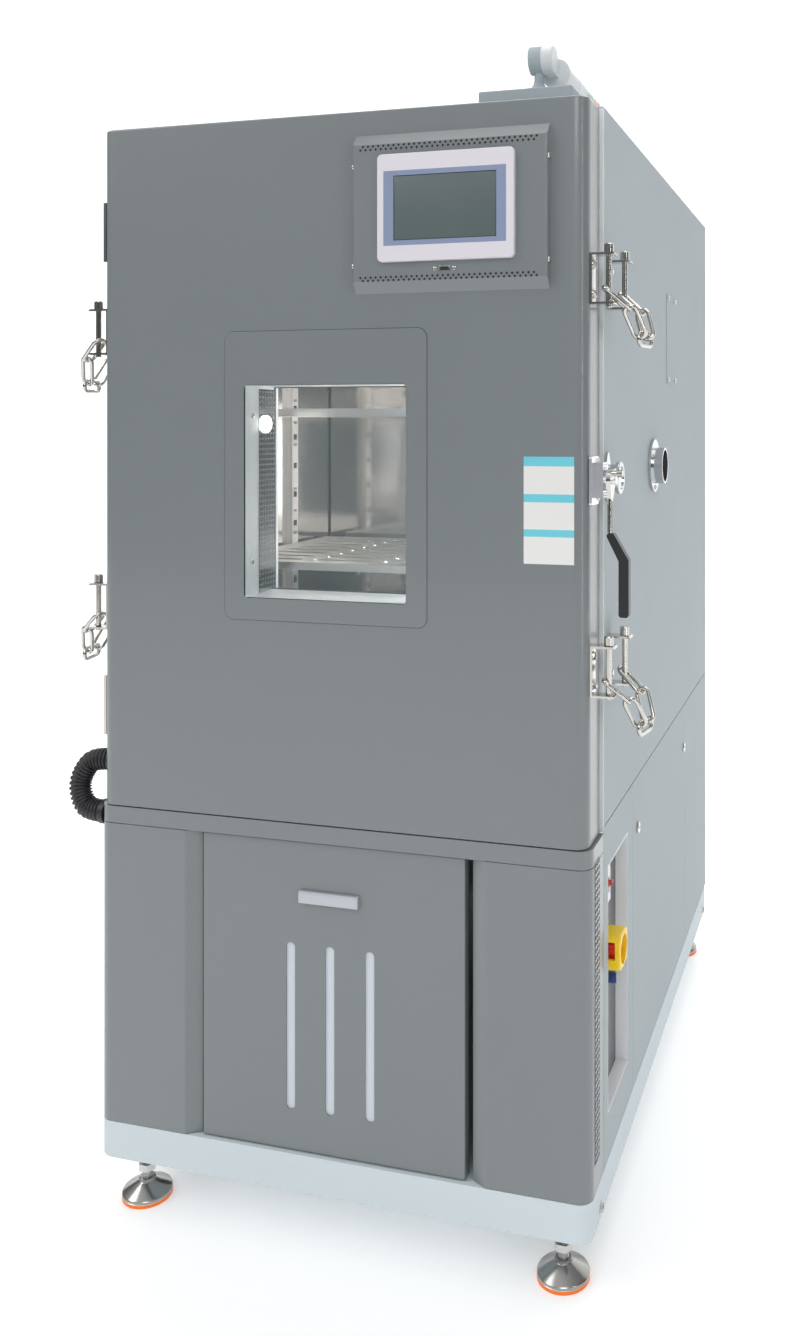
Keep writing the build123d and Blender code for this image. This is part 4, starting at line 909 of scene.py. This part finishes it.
class CHAMBER_OT_chains(bpy.types.Operator):
    """Hang round-wire links in the four safety chain sets"""

    bl_idname = "chamber.chains"
    bl_label = "Safety chains"

    def execute(self, context):
        for side in (1, -1):
            spots = [spot for level in chain_levels(side) for spot in self.links(side, level)]
            if side > 0:
                repeat_dressed("chain_links_right", self.link_source(), spots, "plated_steel", "case",
                               "plated_steel", "safety_chains")
            else:
                item = repeat("chain_links_left", self.link_source(), spots, "plated_steel")
                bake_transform(item)
        return {"FINISHED"}

    def link_source(self):
        """One oval link at the origin, long in X, open in Z."""
        steps = sizes().link_steps
        half = LINK_LONG / 2000
        wide = LINK_HALF / 1000
        points = []
        for centre, start in ((half - wide, -90), (wide - half, 90)):
            for step in range(steps + 1):
                angle = math.radians(start + 180 * step / steps)
                points.append(Vector((centre + math.cos(angle) * wide, math.sin(angle) * wide, 0)))
        bm = bmesh.new()
        add_sweep(bm, points, [sizes().link_wire] * len(points), steps=10, closed=True, normal=Z_AXIS)
        return new_object("link_source", bm, smooth=60)

    def spot(self, start, along, flat):
        """Place and turn of a link whose first bend is at start."""
        across = (flat - along * flat.dot(along)).normalized()
        up = along.cross(across)
        turn = Matrix((along, across, up)).transposed()
        return start + along * (LINK_LONG / 2000), turn

    def links(self, side, middle):
        """The five links of one set, laid out as the model's are."""
        ledge = middle - BRACKET_TALL / 2 + 3
        ends, found = [], []
        for face, depth, turn in ((DOOR_HALF, CHAIN_DOOR_AT, 1), (CASE_HALF, CHAIN_CASE_AT, -1)):
            out = Vector((side * 0.94, turn * 0.34, 0))
            along = (out + Vector((0, 0, -0.84))).normalized()
            behind = 0.0074 / along.cross(Z_AXIS).length
            start = place(side * (face + CHAIN_OUT), depth, ledge + 14) - along * behind
            found.append(self.spot(start, along, Z_AXIS.cross(out)))
            finish = start + along * (LINK_LONG / 1000)
            down = Vector((side * 0.30, turn * 0.42, -0.86)).normalized()
            start = finish - down * (LINK_BITE / 1000)
            found.append(self.spot(start, down, down.cross(Y_AXIS)))
            ends.append(start + down * (LINK_LONG / 1000))
        across = (ends[1] - ends[0]).normalized()
        lift = Vector((0, 0, (LINK_BITE - LINK_HALF) / 1000))
        start = (ends[0] + ends[1]) / 2 + lift - across * (LINK_LONG / 2000)
        found.append(self.spot(start, across, Z_AXIS))
        return found


class CHAMBER_OT_screws(bpy.types.Operator):
    """Set screws and bolts on hinges, brackets, covers, flanges and panels"""

    bl_idname = "chamber.screws"
    bl_label = "Screws and bolts"

    def execute(self, context):
        forward, right, left, back = -Y_AXIS, X_AXIS, -X_AXIS, Y_AXIS
        head = sizes().screw_head
        hinge_screws = [(level + step, step) for level in (760, 1480) for step in (-34, -12, 12, 34)]
        latch_level, port_depth, port_level, port_ring = 1112, 462, 1116, 38
        back_face, plinth_level, seam_level = 1135, 98, 630

        def spot(x, depth, level, way, spin):
            return place(x, depth, level), facing(way, spin)

        cover_sides = ((41, left), (326, right))
        door = [spot(x, -6.5, level, way, 0.4) for x, way in cover_sides for level in (1411, 1551)]
        door_small = [spot(179 + step, -12, 1403, forward, 0.2) for step in (-14, 14)]
        hinge_door = [spot(-383, 26, level, left, step) for level, step in hinge_screws]
        hinge_case = [spot(-387, 122, level, left, step) for level, step in hinge_screws]
        hinge_door += [spot(382, 47, latch_level + step, right, step) for step in (-25, 25)]
        bolts_door, bolts_case = [], []
        for side, way in ((1, right), (-1, left)):
            for level in chain_levels(side):
                for height in (level - 20, level + 20):
                    bolts_door.append(spot(side * (DOOR_HALF + 3), CHAIN_DOOR_AT, height, way, height))
                    bolts_case.append(spot(side * (CASE_HALF + 3), CHAIN_CASE_AT, height, way, height))
        plate_corners = ((610, 1270), (684, 1270), (610, 1420), (684, 1420))
        case = [spot(386, depth, level, right, level) for depth, level in plate_corners]
        for step in (0, 120, 240):
            angle = math.radians(step + 30)
            depth, level = port_depth + port_ring * math.cos(angle), port_level + port_ring * math.sin(angle)
            case.append(spot(388, depth, level, right, step))
        back_levels = range(190, 1640, 205)
        case += [spot(x, back_face, level, back, level) for level in back_levels for x in (-370, 370)]
        case += [spot(x, back_face, level, back, x) for x in range(-280, 290, 140) for level in (150, 1622)]
        case += [spot(-CASE_HALF, depth, seam_level, left, depth) for depth in range(180, 1120, 230)]
        plinth = [
            spot(side * CASE_HALF, depth, plinth_level, side * X_AXIS, spin)
            for depth, spin in ((60, 0.3), (1080, 0.5)) for side in (1, -1)
        ]
        for name, source, spots, body in (
            ("cover_screws", screw_source(head), door, "door"),
            ("port_screws", screw_source(head * 0.7), door_small, "door"),
            ("door_hinge_screws", screw_source(head * 1.1), hinge_door, "door"),
            ("case_hinge_screws", screw_source(head * 1.1), hinge_case, "case"),
            ("door_bracket_bolts", bolt_source(0.0052), bolts_door, "door"),
            ("case_bracket_bolts", bolt_source(0.0052), bolts_case, "case"),
            ("case_screws", screw_source(head), case, "case"),
            ("plinth_bolts", bolt_source(0.0062), plinth, "case"),
        ):
            repeat_dressed(name, source, spots, "plated_steel", body, "plated_steel")
        return {"FINISHED"}


class CHAMBER_OT_vents(bpy.types.Operator):
    """Perforate the right post's side over a sheet of painted shade, and lay dark discs of painted hole shade
    along the control cover's top and bottom edges
    """

    bl_idname = "chamber.vents"
    bl_label = "Perforations"

    def execute(self, context):
        pitch = sizes().vent_pitch
        columns, rows = 3, 46
        start = place(383.05, 24, 176)
        spots = [
            (start + Vector((0, pitch * (column + 0.5), pitch * (row + 0.5))), facing(X_AXIS))
            for row in range(rows) for column in range(columns)
        ]
        tile = perforated_tile(pitch, pitch, pitch * 0.4)
        repeat_dressed("post_vent", tile, spots, "dark_paint", "case", "dark_paint")
        # Painted shade: a near-black sheet behind the perforations stands in for the shade inside the post.
        thin, inset = 0.0001, 0.0005
        low = start + Vector((-thin, inset, inset))
        high = start + Vector((thin, pitch * columns - inset, pitch * rows - inset))
        dress(box_object("post_vent_back", low, high), "gap_shade", "case", "dark_paint")
        # Painted shade: dark discs on the control cover's faces stand in for the shade inside its vent holes.
        first_x, hole_pitch, face_depth = 53, 7.7, -12.05
        spots = [
            (place(first_x + (column + shift) * hole_pitch, face_depth, level), facing(-Y_AXIS))
            for level, shift in ((1572.8, 0.0), (1577.5, 0.5), (1393.5, 0.0), (1389.2, 0.5))
            for column in range(34)
        ]
        profile = ((0.0017, 0), (0.0017, 0.0002), (0.0013, 0.0002), (0.001, 0.00005))
        hole = turned_object("hole_source", profile, 10)
        repeat_dressed("cover_vents", hole, spots, "gap_shade", "door", "dark_paint")
        return {"FINISHED"}


class CHAMBER_OT_window(bpy.types.Operator):
    """Fit the window's seal, a painted-shade line along the frame joint, perforated spacer, screws and lamp,
    and mark the shelf tracks' slots in painted shade
    """

    bl_idname = "chamber.window"
    bl_label = "Window detail"

    def execute(self, context):
        bm = bmesh.new()
        low, high = place(-137.5, 0, 934.5), place(117.5, 0, 1245.5)
        outline = ((low.x, low.z), (high.x, low.z), (high.x, high.z), (low.x, high.z))
        corners = [Vector((x, 0, z)) for x, z in outline]
        for depth, radius in ((2.6, 0.0012), (90.5, 0.0025)):
            points = [corner + Vector((0, place(0, depth, 0).y, 0)) for corner in corners]
            for first, second in zip(points, points[1:] + points[:1]):
                add_sweep(bm, [first, second], [radius, radius], steps=10)
        dress(new_object("window_seal", bm), "black_rubber", "door", "black_rubber")
        # Painted shade: a thin near-black line around the window frame's edge stands in for the shade in its
        # joint.
        bm = bmesh.new()
        middle, half_wide, half_tall, corner = place(-10, 0.2, 1113), 0.158, 0.21, 0.014
        points = []
        for index, (sx, sz) in enumerate(((1, 1), (-1, 1), (-1, -1), (1, -1))):
            for turn in range(0, 91, 15):
                angle = math.radians(90 * index + turn)
                points.append(middle + Vector((
                    sx * (half_wide - corner) + math.cos(angle) * corner, 0,
                    sz * (half_tall - corner) + math.sin(angle) * corner,
                )))
        add_sweep(bm, points, [0.0007] * len(points), steps=6, closed=True, normal=Y_AXIS)
        dress(new_object("frame_joint", bm), "gap_shade", "door", "dark_paint")
        pitch, rows, columns, start_depth, start_level = 0.0078, 39, 6, 42, 936
        tile = perforated_tile(pitch, pitch, pitch * 0.2)
        spots = [
            (place(x, start_depth, start_level) + Vector((0, pitch * (column + 0.5), pitch * (row + 0.5))),
             facing(way))
            for x, way in ((-136.3, X_AXIS), (116.3, -X_AXIS))
            for row in range(rows) for column in range(columns)
        ]
        repeat_dressed("pane_spacer", tile, spots, "stainless_flat", "door", "stainless")
        spots = [(place(-136.6, 22, level), facing(X_AXIS, 0.5)) for level in (985, 1200)]
        repeat_dressed("tunnel_screws", screw_source(0.004), spots, "plated_steel", "door", "plated_steel")
        # Painted shade: dark marks on the shelf tracks stand in for the shade inside their slots.
        low, high = Vector((-0.0055, -0.005, 0)), Vector((0.0055, 0.005, 0.0003))
        source = box_object("slot_source", low, high, 0.0001)
        track_face = 264.9
        spots = [
            (place(side * track_face, depth, level), facing(-side * X_AXIS))
            for side in (-1, 1) for depth in (170, 400) for level in range(852, 1390, 52)
        ]
        repeat_dressed("track_slots", source, spots, "gap_shade", "case", "dark_paint")
        lamp = finish_material("lamp_glow", (0.95, 0.93, 0.88), drift=0.97, rough=(0.2, 0.3))
        glow = {"Emission Color": (1.0, 0.96, 0.88, 1), "Emission Strength": 5.0}
        fill(lamp.node_tree, lamp.node_tree.nodes["Principled BSDF"], glow)
        bm = bmesh.new()
        profile = ((0.013, 0), (0.013, 0.003), (0.011, 0.0055), (0.006, 0.0075), (0.002, 0.008))
        add_lathe(bm, place(-136.2, 60, 1188), X_AXIS, profile, steps=28)
        dress(new_object("chamber_lamp", bm), "lamp_glow", "door", "lamp_white")
        return {"FINISHED"}


class CHAMBER_OT_screen(bpy.types.Operator):
    """Lay the screen's glass in the touch panel and the service port below it"""

    bl_idname = "chamber.screen"
    bl_label = "Screen and port"

    def execute(self, context):
        finish_material("screen_glass", (0.115, 0.145, 0.145), drift=0.8, rough=(0.05, 0.09), scale=7.0,
                        bump=0.0, coat=1.0)
        glass = box_object("screen_glass", place(107, -19.0, 1444), place(255, -18.2, 1532), 0.0003)
        dress(glass, "screen_glass", "door", "screen_housing")
        port = box_object("service_port", place(171.5, -13.4, 1399), place(186.5, -11.8, 1407), 0.0006)
        dress(port, "plated_steel", "door", "plated_steel")
        # Painted shade: a dark box in the port's mouth stands in for the shade inside the opening.
        mouth = box_object("service_port_mouth", place(173.5, -13.6, 1401), place(184.5, -13.3, 1405))
        dress(mouth, "gap_shade", "door", "dark_paint")
        return {"FINISHED"}


class CHAMBER_OT_label(bpy.types.Operator):
    """Put the blank label on the door"""

    bl_idname = "chamber.label"
    bl_label = "Blank label"

    def execute(self, context):
        bands = tuple(
            (place(288, -20, low), place(361, 5, high), (0.16, 0.60, 0.70), 0.35, 0.0)
            for low, high in ((1131, 1144.5), (1082, 1093), (1035, 1045))
        )
        finish_material("label_film", (0.78, 0.78, 0.76), drift=0.98, rough=(0.3, 0.4), bump=0.02,
                        regions=bands)
        label = box_object("blank_label", place(289, -0.35, 998), place(360, 0.05, 1144), 0.0001)
        dress(label, "label_film", "door", "white_paint")
        return {"FINISHED"}


class CHAMBER_OT_feet(bpy.types.Operator):
    """Turn the levelling feet's cups and cut threads on their studs"""

    bl_idname = "chamber.feet"
    bl_label = "Foot threads"

    def execute(self, context):
        pitch = sizes().thread_pitch
        profile = ((0.0066, 0), (0.0076, pitch * 0.3), (0.0076, pitch * 0.45), (0.0066, pitch * 0.8))
        thread = turned_object("thread_source", profile, 20, 20)
        profile = (
            (0.0366, 0.0049), (0.0372, 0.0056), (0.0372, 0.0092), (0.0358, 0.0112), (0.0134, 0.0228),
            (0.0124, 0.0240), (0.0124, 0.0272), (0.0112, 0.0282), (0.0070, 0.0284),
        )
        cup = turned_object("cup_source", profile, 48, 30)
        spots = [(place(x, depth, 0), Matrix.Identity(3)) for x, depth in FEET]
        repeat_dressed("foot_cups", cup, spots, "foot_steel", "case", "foot_orange")
        stud_base, stud_length = 28, 0.058
        spots = [
            (place(x, depth, stud_base) + Vector((0, 0, index * pitch)), Matrix.Identity(3))
            for x, depth in FEET for index in range(int(stud_length / pitch))
        ]
        repeat_dressed("foot_threads", thread, spots, "caster_zinc", "case", "foot_orange")
        return {"FINISHED"}


class CHAMBER_OT_stack(bpy.types.Operator):
    """Add rings to the folding stack light"""

    bl_idname = "chamber.stack"
    bl_label = "Stack light rings"

    def execute(self, context):
        reach = 0.0229
        profile = ((reach - 0.002, 0), (reach, 0.0004), (reach, 0.0022), (reach - 0.002, 0.0026))
        source = turned_object("ring_source", profile, 40, 30)
        spots = [(place(288, depth, 1716), facing(Y_AXIS)) for depth in (236, 278, 321.5, 365)]
        repeat_dressed("stack_rings", source, spots, "lamp_body", "lamp", "lamp_white")
        return {"FINISHED"}


class CHAMBER_PT_panel(bpy.types.Panel):
    """Lists the chamber's pieces in the sidebar"""

    bl_idname = "CHAMBER_PT_panel"
    bl_label = "Test chamber"
    bl_space_type = "VIEW_3D"
    bl_region_type = "UI"
    bl_category = "Chamber"

    def draw(self, context):
        column = self.layout.column(align=True)
        for operator in OPERATORS:
            column.operator(operator.bl_idname)
        for settings in (sizes(), colours()):
            box = self.layout.box()
            for name in settings.__annotations__:
                box.prop(settings, name)


OPERATORS = (
    CHAMBER_OT_finishes,
    CHAMBER_OT_stage,
    CHAMBER_OT_hose,
    CHAMBER_OT_chains,
    CHAMBER_OT_screws,
    CHAMBER_OT_vents,
    CHAMBER_OT_window,
    CHAMBER_OT_screen,
    CHAMBER_OT_label,
    CHAMBER_OT_feet,
    CHAMBER_OT_stack,
)
CLASSES = (ChamberColours, ChamberSizes, *OPERATORS, CHAMBER_PT_panel)


def register():
    """Registers the settings, operators and panel."""
    for item in CLASSES:
        bpy.utils.register_class(item)
    bpy.types.Scene.chamber_sizes = PointerProperty(type=ChamberSizes)
    bpy.types.Scene.chamber_colours = PointerProperty(type=ChamberColours)


def unregister():
    """Removes the settings, operators and panel."""
    del bpy.types.Scene.chamber_colours
    del bpy.types.Scene.chamber_sizes
    for item in reversed(CLASSES):
        bpy.utils.unregister_class(item)


def main():
    """Builds every piece."""
    register()
    for operator in OPERATORS:
        group, name = operator.bl_idname.split(".")
        getattr(getattr(bpy.ops, group), name)()


if __name__ == "__main__":
    main()
